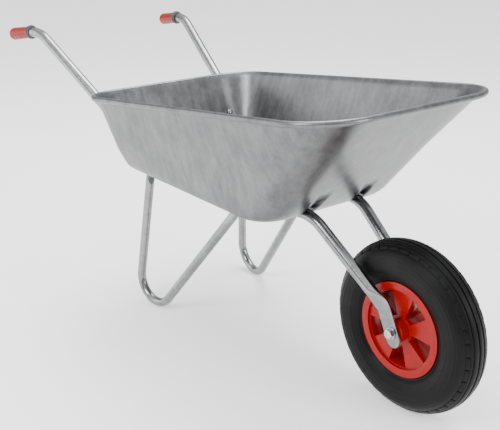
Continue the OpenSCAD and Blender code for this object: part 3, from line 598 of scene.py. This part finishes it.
def nearest(p):
    """Point of the tube's centreline nearest to p, an (x, z) in the side view."""
    a, u = path_a[:, (0, 2)], path_u[:, (0, 2)]
    f = np.clip(((p - a) * u).sum(1) / (u * u).sum(1), 0, 1)
    q = path_a + path_u * f[:, None]
    return q[np.argmin(((q[:, (0, 2)] - p) ** 2).sum(1))]


def push_to(p, n, r):
    """How far p moves along n to lie r inside the tube's centreline. Below 0 it clears the tube."""
    x = 0.0
    for _ in range(4):
        v = p + n * x - nearest(p + n * x)[[0, 2]]
        x += r - (1 if v @ n > 0 else -1) * np.linalg.norm(v)
        if x < 0:
            break
    return x


def seat_push(p, n, column, front):
    """How far the sheet is pushed in at p for a column's kind and place."""
    kind, f = column
    if kind in ("in", "out"):
        return 0.0
    fade = 1 - (p[1] - floor_z) / fade_h if front else -1
    low = max(push_to(p, n, seat_r) - seat_r, rise * fade)
    if kind == "flank":
        return max(0.0, low) * (1 - smooth(abs(f)))
    crest = max(push_to(p, n, seat_r) - seat_r, (rise + seat_r) * fade - seat_r)
    need = crest + seat_r * cos(f)
    return max(need, 0.0) if need > 3 else 1.5 * np.exp((need - 3) / 1.5) if need > -20 else 0.0


def column_y(column, c, top):
    kind, f = column
    if kind == "in":
        return (c - seat_r - seat_skirt) * f
    if kind == "flank":
        return c + (1 if f > 0 else -1) * (seat_r + seat_skirt * abs(f))
    if kind == "arc":
        return c + seat_r * sin(f)
    return blend(c + seat_r + seat_skirt, top, f)

# %% Rings of the pan
def ring(e, s, out=0.0):
    """Rear x, front x, half width, rear corner and front corner of a ring."""
    return (blend(rim_rear_x + bead_r, -floor_rear, e) - out,
            blend(rim_front_x - bead_r, -floor_front, e) + out,
            blend(w_rear / 2 - bead_r, floor_w / 2, s) + out,
            blend(r_rear - bead_r, floor_r_rear, min(e, 1)) + out,
            blend(r_front - bead_r, floor_r_front, min(e, 1)) + out)


def corner_drop(r, past):
    return 0.0 if past <= 0 else r - sqrt(max(0.0, r * r - past * past))


def side_x(g, i):
    turn = radians(45) / corner_rows
    if i <= corner_rows:
        return g[0] + g[3] * (1 - sin(radians(45) - turn * i))
    if i >= rows - corner_rows:
        return g[1] - g[4] * (1 - sin(turn * (i - rows + corner_rows)))
    return blend(g[0] + g[3], g[1] - g[4], (i - corner_rows) / straight_rows)


def side_y(g, i, widen):
    x = side_x(g, i)
    half_w = g[2] + widen * (x - g[0]) / (g[1] - g[0])
    if i < corner_rows:
        return half_w - corner_drop(g[3], g[0] + g[3] - x)
    return half_w - (corner_drop(g[4], x - g[1] + g[4]) if i > rows - corner_rows else 0.0)


def grid_place(m):
    """Row and column of the grid for point m of a ring."""
    if m < cols:
        return 0, m
    if m < cols + rows:
        return m - cols, cols
    if m < 2 * cols + rows:
        return rows, 2 * cols + rows - m
    return ring_n - m, 0


def bezier(a, b, c, f):
    return a * (1 - f) ** 2 + 2 * b * f * (1 - f) + c * f * f


side_room = w_rear / 2 - bead_r - floor_w / 2
crease_s = crease_in / side_room


def inset(t, tc, s1):
    """How far in the sides are at depth t. tc is the crease's depth, and s1 the bottom bend's inset."""
    upper, lower = crease_s / tc, (s1 - crease_s) / (fillet_start - tc)
    soft = 0.05
    if t < tc - soft:
        return upper * t
    if t > tc + soft:
        return crease_s + lower * (t - tc)
    past = t - tc + soft
    return upper * (tc - soft) + upper * past + (lower - upper) * past * past / (4 * soft)


def rim_x(i, j):
    """x of the rim at a place of the grid, which sets the height of the rim there."""
    rim = ring(0, 0)
    if 0 < i < rows:
        return side_x(rim, i)
    front = i > 0
    r = rim[4] if front else rim[3]
    half_w = rim[2] + ((w_front - w_rear) / 2 if front else 0)
    c = fork_y - (fork_x + rim[1]) * tan(floor_yaw) if front else neck_y
    y = column_y(half_columns[abs(j - half)], c, half_w - r * (1 - sin(radians(45))))
    drop = corner_drop(r, y - half_w + r)
    return rim[1] - drop if front else rim[0] + drop


def ring_point(m, level):
    """Point m at a level: 0 at the rim, 1 at the bottom's bend and 2 at the floor's edge."""
    i, j = grid_place(m)
    rim = ring(0, 0)
    x0 = rim_x(i, j)
    top = rim_z_rear + rim_slope * (x0 - rim_rear_x)
    deep = top - floor_z
    tc = crease_h / deep
    f = max(0.0, level - 1)
    t = fillet_start * level if level <= 1 else bezier(fillet_start, 1, 1, f)
    front = x0 > (rim[0] + rim[1]) / 2
    over_e = toe_len / (floor_front + rim_front_x - bead_r) if front else heel_len / rear_run
    e = t if level <= 1 else bezier(fillet_start, 1, 1 + over_e, f)
    s1 = blend(crease_s, 1, (fillet_start - tc) / (1 - tc))
    s = inset(t, tc, s1) if level <= 1 else bezier(s1, 1, 1 + edge_len / side_room, f)
    g = ring(e, s)
    widen = (w_front - w_rear) / 2 * (1 - min(1, s))
    z = top - deep * t
    if 0 < i < rows:
        return np.array([side_x(g, i), (-1 if j == 0 else 1) * side_y(g, i, widen), z])
    r = g[4] if front else g[3]
    half_w = g[2] + (widen if front else 0)
    ex = g[1] if front else g[0]
    n = np.array([0.0, 1.0]) if front else unit(blend(rear_n, np.array([0.0, 1.0]), f))
    column = half_columns[abs(j - half)]
    at = np.array([ex, z])
    at = at + n * seat_push(at, n, column, front)
    if front:
        c = fork_y + (-fork_x - max(ex, -floor_front - toe_len)) * tan(floor_yaw)
    else:
        c = -nearest(at)[1]
    y = (1 if j > half else -1) * column_y(column, c, half_w - r * (1 - sin(radians(45))))
    drop = corner_drop(r, abs(y) - half_w + r)
    return np.array([at[0] + (-drop if front else drop), y, at[1]])


def bead_point(m, angle):
    """Point m of the rolled edge, at an angle round its section."""
    i, j = grid_place(m)
    r = bead_r - sheet
    base = ring_point(m, 0)
    rim = ring(0, 0)
    rear = i < rows / 2
    cx = rim[0] + rim[3] if rear else rim[1] - rim[4]
    cy = rim[2] - rim[3] if rear else rim[2] + (w_front - w_rear) / 2 - rim[4]
    past_x = base[0] < cx if rear else base[0] > cx
    if past_x and abs(base[1]) > cy:
        away = unit((base[0] - cx, abs(base[1]) - cy))
    else:
        away = (-1, 0) if i == 0 else (1, 0) if i == rows else (0, 1)
    out = bead_r + r * cos(angle)
    return base + (away[0] * out, (1 if base[1] > 0 else -1) * away[1] * out, r * sin(angle))

# %% Build the pan
bead_angles = np.radians(np.linspace(-150, 165, 20))
levels = list(np.linspace(0, 1, 22)) + list(np.linspace(1, 2, 9)[1:])
pan_rings = [[bead_point(m, a) for m in range(ring_n)] for a in bead_angles]
pan_rings += [[ring_point(m, level) for m in range(ring_n)] for level in levels]
pan_points, pan_faces = strip([np.array(r) for r in pan_rings], caps=False)
edge = np.array(pan_rings[-1])
edge_at = (len(pan_rings) - 1) * ring_n


def edge_index(i, j):
    """Place in a ring of the edge point at row i and column j."""
    if i == 0:
        return j
    if j == cols:
        return cols + i
    return 2 * cols + rows - j if i == rows else (ring_n - i) % ring_n


def floor_point(i, j):
    a, b = edge[j], edge[edge_index(rows, j)]
    s0, s1, si = edge[cols][0], edge[cols + rows][0], edge[cols + i][0]
    f = (si - s0) / (s1 - s0)
    x = blend(a[0], b[0], f)
    column = half_columns[abs(j - half)]
    push = seat_push(np.array([x, floor_z]), np.array([0.0, 1.0]), column, False)
    return (x, blend(a[1], b[1], f), floor_z + push)


inner = np.array([floor_point(i, j) for i in range(1, rows) for j in range(1, cols)])


def floor_index(i, j):
    if i in (0, rows) or j in (0, cols):
        return edge_at + edge_index(i, j) % ring_n
    return len(pan_points) + (i - 1) * (cols - 1) + j - 1


pan_faces += [(floor_index(i, j), floor_index(i, j + 1), floor_index(i + 1, j + 1), floor_index(i + 1, j))
              for i in range(rows) for j in range(cols)]
pan = piece("pan_finished", np.vstack([pan_points, inner]), pan_faces, sheet_zinc, 60)
bm = bmesh.new()
bm.from_mesh(pan.data)
bmesh.ops.recalc_face_normals(bm, faces=bm.faces)
lowest = min(bm.faces, key=lambda face: face.calc_center_median().z)
if lowest.normal.z > 0:
    bmesh.ops.reverse_faces(bm, faces=bm.faces)
bm.to_mesh(pan.data)
bm.free()
shell = pan.modifiers.new("sheet", "SOLIDIFY")
shell.thickness = sheet * MM
shell.offset = -1
shell.use_even_offset = True
hand_in(bake(pan), "chassis", "sheet_steel", "pan")

# %% [markdown]
# ## Tyre
# A barrow tyre is a ribbed tyre: grooves run round it and nothing cuts across, except on the two shoulders,
# where short blocks let it turn in mud. Its skin is a profile turned round the axle. The shoulder blocks
# repeat, so one block is modelled and Geometry Nodes set forty of it round each shoulder.

# %% The tyre's skin
seat_rad, flange_r, rim_half = 92, 100, 31
tyre_half = 41
tyre_mid = blend(seat_rad, tyre_d / 2, 0.52)
tyre_up = tyre_d / 2 - tyre_mid
squareness = 0.92


def tyre_radius(y):
    """Radius of the bare tread at distance y from the middle."""
    return tyre_mid + tyre_up * (1 - (abs(y) / tyre_half) ** 2.2) ** 0.5


def groove(middle, width, depth, side):
    """Profile points across a groove, from the outside of the tyre inwards when side is 1."""
    half_w = width / 2
    steps = ((half_w + 0.7, 0), (half_w + 0.1, 0.35), (half_w - 0.2, depth * 0.8), (half_w - 0.7, depth),
             (-half_w + 0.7, depth), (-half_w + 0.2, depth * 0.8), (-half_w - 0.1, 0.35), (-half_w - 0.7, 0))
    return [(tyre_radius(middle + s) - d, side * (middle + s)) for s, d in steps]


def half_profile(side):
    """From the bead on the rim out over the sidewall to the edge of the middle groove."""
    half_pts = [(seat_rad + 0.4, 22), (seat_rad + 0.6, 26.6), (flange_r - 1, 26.8), (flange_r + 1.5, 27.6),
                (flange_r + 3.6, 29.4), (flange_r + 5.4, 29.6), (flange_r + 6.6, 28.6)]
    for turn in np.linspace(142, 62, 34):
        c, s = cos(radians(turn)), sin(radians(turn))
        r = tyre_mid + tyre_up * np.sign(c) * abs(c) ** squareness
        line = 0.9 * sum(np.exp(-((turn - at) / 1.6) ** 2) for at in (70, 78, 104, 128))
        half_pts.append((r + line * c, tyre_half * s ** squareness + line * s))
    half_pts.append((tyre_radius(31.5) - 0.4, 31.5))
    half_pts.append((tyre_radius(30.6) - 1.2, 30.6))
    half_pts.append((tyre_radius(30.3) - 2.6, 30.3))
    half_pts.append((tyre_radius(24) - 2.6, 24))
    half_pts.append((tyre_radius(23.4) - 0.4, 23.4))
    half_pts.append((tyre_radius(22.6), 22.6))
    pts = [(r, side * y) for r, y in half_pts]
    return pts + groove(18.4, 2.6, 3.6, side) + groove(6.4, 2.8, 4.0, side)


def turned(profile, sides):
    """Rings of a profile of (radius, distance along y) turned round the axle."""
    t = 2 * pi * np.arange(sides) / sides
    return [np.stack([r * np.cos(t), np.full(sides, y), axle_z + r * np.sin(t)], 1) for r, y in profile]


tyre_profile = half_profile(1) + half_profile(-1)[::-1]
tyre_profile += [(seat_rad + 6, -20), (seat_rad + 6, 20), tyre_profile[0]]
tyre_points, tyre_faces = strip(turned(tyre_profile, 240), caps=False)
tyre = outwards(piece("tyre_skin", tyre_points, tyre_faces, tyre_rubber, 50))
print("tyre profile:", len(tyre_profile), "points")

# %% Geometry Nodes helpers
def tree_of(name, **sockets):
    """A new geometry tree with a Geometry input and output, and the named inputs."""
    tree = bpy.data.node_groups.new(name, "GeometryNodeTree")
    tree.interface.new_socket("Geometry", in_out="INPUT", socket_type="NodeSocketGeometry")
    for label, kind in sockets.items():
        tree.interface.new_socket(label.replace("_", " "), in_out="INPUT", socket_type="NodeSocket" + kind)
    tree.interface.new_socket("Geometry", in_out="OUTPUT", socket_type="NodeSocketGeometry")
    return tree, tree.nodes.new("NodeGroupInput")


def given(tree, source, label):
    """The named input of a tree as a value."""
    return Value(tree, source.outputs[label])


def finish_tree(tree, geometry, source):
    """Real meshes instead of instances, with their finish."""
    real = node(tree, "GeometryNodeRealizeInstances", {}, [geometry])
    real = node(tree, "GeometryNodeSetMaterial", {},
                {"Geometry": real, "Material": given(tree, source, "Finish")})
    tree.links.new(real.socket, tree.nodes.new("NodeGroupOutput").inputs[0])


def grow(name, tree, points, **inputs):
    """Runs a tree on a mesh of bare points in mm and returns the result as a plain mesh object."""
    mesh = bpy.data.meshes.new(name)
    metres = (np.asarray(points, float).reshape(-1, 3) + (axle_x, 0, 0)) * MM
    mesh.from_pydata(metres.tolist(), [], [])
    turns = inputs.pop("turns", None)
    if turns is not None:
        layer = mesh.attributes.new("turn", "FLOAT_VECTOR", "POINT")
        layer.data.foreach_set("vector", np.asarray(turns, float).ravel())
    ob = bpy.data.objects.new(name, mesh)
    bpy.context.scene.collection.objects.link(ob)
    modifier = ob.modifiers.new(name, "NODES")
    modifier.node_group = tree
    for item in tree.interface.items_tree:
        label = item.name.replace(" ", "_")
        if item.in_out == "INPUT" and label in inputs:
            modifier[item.identifier] = inputs[label]
    return bake(ob)


def joined(name, *obs):
    """One object from several plain meshes that share a place, with their finishes kept."""
    bm = bmesh.new()
    finishes = []
    for ob in obs:
        start = len(bm.faces)
        bm.from_mesh(ob.data)
        bm.faces.ensure_lookup_table()
        places = []
        for finish in ob.data.materials:
            if finish not in finishes:
                finishes.append(finish)
            places.append(finishes.index(finish))
        for face in bm.faces[start:]:
            face.material_index = places[face.material_index] if places else 0
    mesh = bpy.data.meshes.new(name)
    bm.to_mesh(mesh)
    bm.free()
    for finish in finishes:
        mesh.materials.append(finish)
    for ob in obs:
        bpy.data.objects.remove(ob)
    made = bpy.data.objects.new(name, mesh)
    bpy.context.scene.collection.objects.link(made)
    return made

# %% Round the axle: a part, how many of it, and the turn between them
ring_tree, source = tree_of("ring_of_parts", Part="Object", Count="Int", Finish="Material")
points = node(ring_tree, "GeometryNodeMeshLine", {}, {"Count": given(ring_tree, source, "Count"),
                                                     "Offset": (0, 0, 0)})
index = node(ring_tree, "GeometryNodeInputIndex")
step = index * (2 * pi)
step = node(ring_tree, "ShaderNodeMath", {"operation": "DIVIDE"}, [step, given(ring_tree, source, "Count")])
turn = node(ring_tree, "ShaderNodeCombineXYZ", {}, {"Y": step})
turn = node(ring_tree, "FunctionNodeEulerToRotation", {}, [turn])
part = node(ring_tree, "GeometryNodeObjectInfo", {}, {"Object": given(ring_tree, source, "Part")}, output=4)
ringed = node(ring_tree, "GeometryNodeInstanceOnPoints", {}, {"Points": points, "Instance": part,
                                                             "Rotation": turn})
finish_tree(ring_tree, ringed, source)

# %% Shoulder blocks
block_n = 40
block_span = radians(360 / block_n - 1.1)


def shoulder_block(side):
    """One block of the shoulder about the world's origin, with its edges eased."""
    ys = [23.9, 24.4, 26, 28, 29.8, 30.4]
    tops = [-0.7, 0, 0.1, 0.1, 0, -0.8]
    rings = []
    for k, f in enumerate(np.linspace(-0.5, 0.5, 7)):
        a, ease = f * block_span, 0.7 if k in (0, 6) else 0.0
        section_pts = [(tyre_radius(y) + t - ease, y) for y, t in zip(ys, tops)]
        section_pts += [(tyre_radius(30.4) - 3.2, 30.4), (tyre_radius(23.9) - 3.2, 23.9)]
        rings.append(np.array([(r * cos(a), side * y, r * sin(a)) for r, y in section_pts]))
    return strip(rings)


blocks = []
for side in (1, -1):
    pts, faces = shoulder_block(side)
    block = outwards(piece("block", pts - (axle_x, 0, 0), faces, tyre_rubber, 30))
    blocks.append(grow("shoulder", ring_tree, [(0, 0, 0)], Part=block, Count=block_n, Finish=tyre_rubber))
    blocks[-1].data.transform(Matrix.Translation((axle_x * MM, 0, axle_z * MM)))
    bpy.data.objects.remove(block)
tyre = joined("tyre_finished", tyre, *blocks)
hand_in(tyre, "wheel", "tyre_rubber", "tyre")

# %% [markdown]
# ## Wheel
# The two halves of the wheel already have the right shape in the CAD model, down to the windows and their
# walls. What they lack is the small radius that every moulded edge has, and that radius is what catches the
# light. So a copy of each is cleaned of its triangles, loses any cavity that is closed in on all sides, and
# gets bevelled edges. The bushes, the sleeve and the inner tube get the same.

# %% Rounded copies of CAD parts
def drop_sealed_voids(bm):
    """Deletes each shell that is inside out, which is a cavity closed in on all sides."""
    left = set(bm.faces)
    while left:
        shell, front = set(), [next(iter(left))]
        while front:
            face = front.pop()
            if face not in shell:
                shell.add(face)
                front += [f for edge in face.edges for f in edge.link_faces if f not in shell]
        left -= shell
        volume = 0.0
        for face in shell:
            a, *rest = [v.co for v in face.verts]
            volume += sum(a.dot(b.cross(c)) for b, c in zip(rest, rest[1:]))
        if volume < 0:
            bmesh.ops.delete(bm, geom=list(shell), context="FACES")


def rounded(cad, name, radius, finish, segments=3):
    """A copy of a CAD node with its flat faces whole again and its sharp edges rounded, radius in mm."""
    mesh = frame["nodes"][cad].data.copy()
    mesh.materials.clear()
    mesh.materials.append(finish)
    ob = bpy.data.objects.new(name, mesh)
    bpy.context.scene.collection.objects.link(ob)
    bm = bmesh.new()
    bm.from_mesh(mesh)
    bmesh.ops.remove_doubles(bm, verts=bm.verts, dist=2e-6)
    drop_sealed_voids(bm)
    bmesh.ops.dissolve_limit(bm, angle_limit=radians(0.4), verts=bm.verts, edges=bm.edges)
    for face in bm.faces:
        face.material_index = 0
        face.smooth = True
    for seam in bm.edges:
        seam.smooth = True
    bm.to_mesh(mesh)
    bm.free()
    bevel = ob.modifiers.new("edge", "BEVEL")
    bevel.width = radius * MM
    bevel.segments = segments
    bevel.limit_method = "ANGLE"
    bevel.angle_limit = radians(35)
    bevel.harden_normals = True
    return bake(ob)


for side in ("left", "right"):
    half_wheel = rounded(f"wheel_half_{side}", f"wheel_half_{side}_finished", 0.8, wheel_red)
    hand_in(half_wheel, "wheel", "wheel_plastic", f"wheel_half_{side}")
    bush = rounded(f"wheel_bush_{side}", f"wheel_bush_{side}_finished", 0.5, nylon_black)
    hand_in(bush, "wheel", "bush_plastic", f"wheel_bush_{side}")
sleeve = rounded("axle_sleeve", "axle_sleeve_finished", 0.5, drawn_steel)
hand_in(sleeve, "chassis", "sleeve_steel", "axle_sleeve")
tube_inside = rounded("inner_tube", "inner_tube_finished", 1.5, plain_rubber)
hand_in(tube_inside, "wheel", "tube_rubber", "inner_tube")

# %% [markdown]
# ## Turned and hexagonal parts
# Bolts, nuts, washers, screws and the valve are all turned: a profile of radius and height goes round an
# axis. A hexagon is the same thing with a radius that changes with the angle. Each is modelled once,
# standing on the origin, and Geometry Nodes set it on every point that the frame gives, turned as the point
# says.

# %% Profiles
def lathe(profile, sides=48, shape=None, bore=False):
    """Skin of a profile of (radius, height). shape may move a point, and bore closes the profile."""
    rings = []
    for a in 2 * pi * np.arange(sides) / sides:
        pts = [shape(r, z, a) if shape else (r, z) for r, z in profile]
        rings.append(np.array([(r * cos(a), r * sin(a), z) for r, z in pts]))
    n = len(profile)
    faces = []
    for k in range(sides):
        for q in range(n if bore else n - 1):
            a, b = k * n + q, k * n + (q + 1) % n
            faces.append((a, b, (b + n) % (sides * n), (a + n) % (sides * n)))
    return np.vstack(rings), faces


def hexagon(r, a):
    """Distance from the axis to a hexagon's side at angle a, where r is the distance to its corners."""
    return r * cos(radians(30)) / cos((a % radians(60)) - radians(30))


def hex_shape(r, low, high):
    """For lathe: points with radius r lie on the hexagon, with its corners cut back at both ends."""
    flat = r * cos(radians(30)) * 0.97
    def shape(radius, z, a):
        if radius < r:
            return radius, z
        out = hexagon(r, a)
        cut = (out - flat) * tan(radians(28))
        return out, low + cut if z == low else high - cut
    return shape


def washer_part(bore, r, t):
    e = 0.25
    below = [(bore, e), (bore + e, 0), (r - e, 0), (r, e)]
    above = [(r, t - e), (r - e, t), (bore + e, t), (bore, t - e)]
    return lathe(below + above, bore=True)


def nut_part(bore, r, h):
    flat = r * cos(radians(30)) * 0.97
    e = 0.6
    profile = [(bore + e, 0), (flat, 0), (r, 0), (r, h), (flat, h), (bore + e, h), (bore, h - e), (bore, e)]
    return lathe(profile, 72, hex_shape(r, 0, h), bore=True)


def head_part(shank, r, h, length):
    """Bolt with its head from z = 0 up to h and its shank down to -length."""
    flat = r * cos(radians(30)) * 0.97
    profile = [(0, h), (flat * 0.5, h), (flat, h), (r, h), (r, 0), (shank, 0), (shank, -length + 0.8),
               (shank - 0.8, -length), (0, -length)]
    return lathe(profile, 72, hex_shape(r, 0, h))


def as_part(shape, finish, crease=35):
    """A template object about the world's origin."""
    pts, faces = shape
    return outwards(piece("part", pts - (axle_x, 0, 0), faces, finish, crease))

# %% The thread: a ridge on a helix
thread_tree, source = tree_of("thread", Pitch="Float", Length="Float", Radius="Float", Ridge="Float",
                              Finish="Material")
radius = given(thread_tree, source, "Radius")
thread_length = given(thread_tree, source, "Length")
turns = node(thread_tree, "ShaderNodeMath", {"operation": "DIVIDE"},
             [thread_length, given(thread_tree, source, "Pitch")])
helix = node(thread_tree, "GeometryNodeCurveSpiral", {}, {"Resolution": 24, "Rotations": turns,
             "Start Radius": radius, "End Radius": radius, "Height": thread_length})
ridge = node(thread_tree, "GeometryNodeCurvePrimitiveCircle", {}, {"Resolution": 4, "Radius":
             given(thread_tree, source, "Ridge")})
ridged = node(thread_tree, "GeometryNodeCurveToMesh", {}, {"Curve": helix, "Profile Curve": ridge,
                                                          "Fill Caps": True})
finish_tree(thread_tree, ridged, source)


def bolt_with_thread(shank, r, h, length, threaded, pitch):
    """A bolt template whose last threaded mm carry a thread."""
    body = as_part(head_part(shank, r, h, length), bright_zinc)
    thread = grow("thread", thread_tree, [(0, 0, 0)], Pitch=pitch * MM, Length=threaded * MM,
                  Radius=shank * MM, Ridge=pitch * 0.32 * MM, Finish=bright_zinc)
    thread.data.transform(Matrix.Translation((0, 0, (-length + 0.6) * MM)))
    return joined("bolt", body, thread)

# %% On every point: a part and its turn
copies_tree, source = tree_of("copies", Part="Object", Finish="Material")
turn = node(copies_tree, "GeometryNodeInputNamedAttribute", {"data_type": "FLOAT_VECTOR"}, {"Name": "turn"})
turn = node(copies_tree, "FunctionNodeEulerToRotation", {}, [turn])
part = node(copies_tree, "GeometryNodeObjectInfo", {},
            {"Object": given(copies_tree, source, "Part")}, output=4)
copied = node(copies_tree, "GeometryNodeInstanceOnPoints", {},
              {"Points": given(copies_tree, source, "Geometry"), "Instance": part, "Rotation": turn})
finish_tree(copies_tree, copied, source)


def set_out(cad, part, places, lift, body="chassis", finish=bright_zinc, slot="zinc"):
    """Sets a part on each place, lift mm along its own z, and puts the result in place of a CAD node, which
    it hides.
    """
    spots = [m @ Matrix.Translation((0, 0, lift)) for m in places]
    ob = grow(f"{cad}_finished", copies_tree, [m.translation for m in spots],
              turns=[m.to_euler() for m in spots], Part=part, Finish=finish)
    ob.data.shade_smooth()
    ob.data.set_sharp_from_angle(angle=radians(35))
    bpy.data.objects.remove(part)
    hand_in(ob, body, slot, cad)


flip = Matrix.Diagonal((1, -1, 1, 1))


def both_sides(places):
    """Places on the right, and the same places mirrored to the left as plain turns."""
    return [q for m in places for q in (m, flip @ m @ flip)]

# %% Fasteners of the pan, the legs and the axle
washer_t, washer_r, nut_h = 1.6, 8, 6.4
bolt_r, hole_r, head_r, head_h = 4, 4.3, 6.4, 5.2
bolt_in = 0.6 * tab_l
crest = seat_r + sheet
bolt_top = crest + washer_r * sin(splay) + 0.1
tab_under = -tube_r - 2 * tab_b
wall_top = crest + 3
wall_turn = atan2(rear_n[0], rear_n[1])

leg_places = both_sides([under_tube(x) for x in (-upright_x - bolt_in, -brace_x + bolt_in)])
wall_at = blend(tube_route[3], tube_route[2], 0.5)
wall_places = both_sides([Matrix.Translation(wall_at) @ Matrix.Rotation(wall_turn, 4, "Y")])

leg_bolt_l = bolt_top + 2 * washer_t - tab_under + nut_h + 3
set_out("leg_bolts", bolt_with_thread(bolt_r, head_r, head_h, leg_bolt_l, 14, 1.25), leg_places,
        bolt_top + washer_t)
set_out("leg_bolt_washers", as_part(washer_part(hole_r, washer_r, washer_t), bright_zinc), leg_places,
        bolt_top)
set_out("leg_washers", as_part(washer_part(hole_r, washer_r, washer_t), bright_zinc), leg_places,
        tab_under - washer_t)
set_out("leg_nuts", as_part(nut_part(bolt_r, head_r, nut_h), bright_zinc), leg_places,
        tab_under - washer_t - nut_h)
wall_bolt_l = wall_top + 2 * washer_t + tube_r + nut_h + 3
set_out("wall_bolts", bolt_with_thread(bolt_r, head_r, head_h, wall_bolt_l, 14, 1.25), wall_places,
        wall_top + washer_t)
set_out("wall_washers", as_part(washer_part(hole_r, washer_r, washer_t), bright_zinc), wall_places,
        wall_top)
set_out("wall_nuts", as_part(nut_part(bolt_r, head_r, nut_h), bright_zinc), wall_places,
        -tube_r - nut_h)

axle_r, axle_out, axle_washer_t = 6, 52, 2
axle_head_r, axle_head_h, axle_nut_h = 10.44, 7.44, 10.2
on_axle = Matrix.Translation((0, 0, axle_z)) @ Matrix.Rotation(radians(90), 4, "X")
axle_reach = 2 * (axle_out + axle_washer_t) + axle_nut_h + 3
set_out("axle_bolt", bolt_with_thread(axle_r, axle_head_r, axle_head_h, axle_reach, 20, 1.75), [on_axle],
        axle_out + axle_washer_t)
far_side = on_axle @ Matrix.Rotation(pi, 4, "X")
axle_washer = as_part(washer_part(axle_r + 0.3, 12, axle_washer_t), bright_zinc)
set_out("axle_washers", axle_washer, [on_axle, far_side],
        axle_out)
set_out("axle_nut", as_part(nut_part(axle_r, axle_head_r, axle_nut_h), bright_zinc), [on_axle],
        -axle_out - axle_washer_t - axle_nut_h)

# %% [markdown]
# The wheel's own screws have domed heads with a cross recess, and the valve is a rubber stem with a knurled
# cap. Both are lathe shapes whose radius changes with the angle.

# %% Wheel screws and valve
valve_a = radians(125)
screw_r, screw_l = 2.5, 30
disc_out = rim_half - 6


def cross_recess(r, z, a):
    """Shapes the ring marked with radius 1 into a cross."""
    return (0.7 + 1.5 * max(0.0, cos(4 * a)) ** 3, z) if r == 1 else (r, z)


screw = lathe([(0, 1.2), (1, 1.2), (1, 2.42), (2.6, 2.4), (3.8, 1.9), (4.4, 1.0), (4.5, 0), (screw_r, 0),
               (screw_r, -screw_l + 3), (0.4, -screw_l), (0, -screw_l)], 48, cross_recess)
screw_places = []
for k in range(5):
    turn = -valve_a + (k + 0.5) * 2 * pi / 5
    screw_places.append(Matrix.Translation((0, 0, axle_z)) @ Matrix.Rotation(turn, 4, "Y")
                        @ Matrix.Translation((58, 0, 0)) @ Matrix.Rotation(radians(-90), 4, "X"))
set_out("wheel_screws", as_part(screw, bright_zinc), screw_places, disc_out, "wheel")

stem_r, stem_base, stem_l, cap_l = 4.2, 101, 34, 9
valve_place = (Matrix.Translation((0, 0, axle_z)) @ Matrix.Rotation(radians(90) - valve_a, 4, "Y")
               @ Matrix.Translation((0, 0, stem_base)) @ Matrix.Rotation(pi, 4, "X"))
stem = lathe([(0, 0), (stem_r, 0), (stem_r, 6), (stem_r - 0.5, 7), (stem_r - 0.5, 20), (stem_r, 21),
              (stem_r, stem_l - cap_l - 1), (stem_r - 0.8, stem_l - cap_l), (stem_r - 0.8, stem_l - 0.6),
              (stem_r - 1.4, stem_l), (0, stem_l)])
set_out("valve_stem", as_part(stem, plain_rubber), [valve_place], 0, "wheel", plain_rubber, "valve_rubber")


def knurl(r, z, a):
    return (r + 0.3 * cos(14 * a), z) if r > 5 else (r, z)


cap_low, cap_high = stem_l - cap_l + 2, stem_l + 2
cap_bore, cap_roof = stem_r - 0.65, stem_l + 0.3
cap = lathe([(0, cap_roof), (cap_bore, cap_roof), (cap_bore, cap_low), (5.1, cap_low), (5.2, cap_low + 0.6),
             (5.2, cap_high - 1.4), (4.6, cap_high - 0.3), (3.6, cap_high), (0, cap_high)], 84, knurl)
set_out("valve_cap", as_part(cap, nylon_black), [valve_place], 0, "wheel", nylon_black, "cap_plastic")

# %% [markdown]
# ## Grips
# A grip is a soft sleeve pushed over the tube's end. It is a little thicker at the rear, its underside has
# shallow hollows for the fingers, fine ribs run across them, and a dark collar closes its mouth.

# %% Build the grips
grip_l, grip_r, collar_l = 104, 16.5, 9
ribbed_from, finger_pitch, rib_pitch = 14, 19, 3.2
grip_dir = unit(tube_route[1] - tube_route[0])


def grip():
    """Rings of the grip along the tube, from its round end to the collar."""
    across = unit(np.cross((0, 0, 1), grip_dir))
    up = np.cross(grip_dir, across)
    start = np.array((grip_x, -handle_w / 2, grip_z))
    body_l = grip_l - collar_l
    stations = [(1.6 * (1 - cos(t)) * 6.5, sin(t) ** 0.8) for t in np.linspace(0.04, pi / 2, 12)]
    stations += [(x, 1.0) for x in np.linspace(12, body_l, 110)]
    q = 2 * pi * np.arange(64) / 64
    rings = []
    for x, size in stations:
        base = blend(grip_r, grip_r - 1.3, smooth(min(1, x / body_l)))
        below = np.clip(-np.sin(q), 0, 1) ** 1.5
        ribbed = ribbed_from < x < body_l - 5
        fingers = (0.5 - 0.5 * cos(2 * pi * (x - ribbed_from) / finger_pitch)) * ribbed
        rib = 0.35 * (0.5 - 0.5 * cos(2 * pi * x / rib_pitch)) * ribbed
        r = size * (base - below * (1.5 * fingers + rib))
        rings.append(start + grip_dir * x + np.outer(r * np.cos(q), across) + np.outer(r * np.sin(q), up))
    return rings, start, across, up


grip_rings, start, across, up = grip()
collar_profile = [(-0.5, 15.1), (0, 17.6), (0.9, 18.4), (3.2, 18.5), (4.2, 17.6), (4.6, 16.2), (7.6, 15.9),
                  (8.7, 15.3), (9, 14.2), (9, 12.55)]
q = 2 * pi * np.arange(64) / 64
collar_rings = [start + grip_dir * (grip_l - collar_l + x) + np.outer(r * np.cos(q), across)
                + np.outer(r * np.sin(q), up) for x, r in collar_profile]
for side in ("right", "left"):
    flip_side = mirrored if side == "left" else np.asarray
    pts, faces = strip([flip_side(r) for r in grip_rings])
    sleeve_part = outwards(piece("sleeve", pts, faces, grip_red, 50))
    pts, faces = strip([flip_side(r) for r in collar_rings])
    collar = outwards(piece("collar", pts, faces, collar_grey, 40))
    whole = joined(f"grip_{side}_finished", sleeve_part, collar)
    hand_in(whole, "chassis", "grip_plastic", f"grip_{side}")
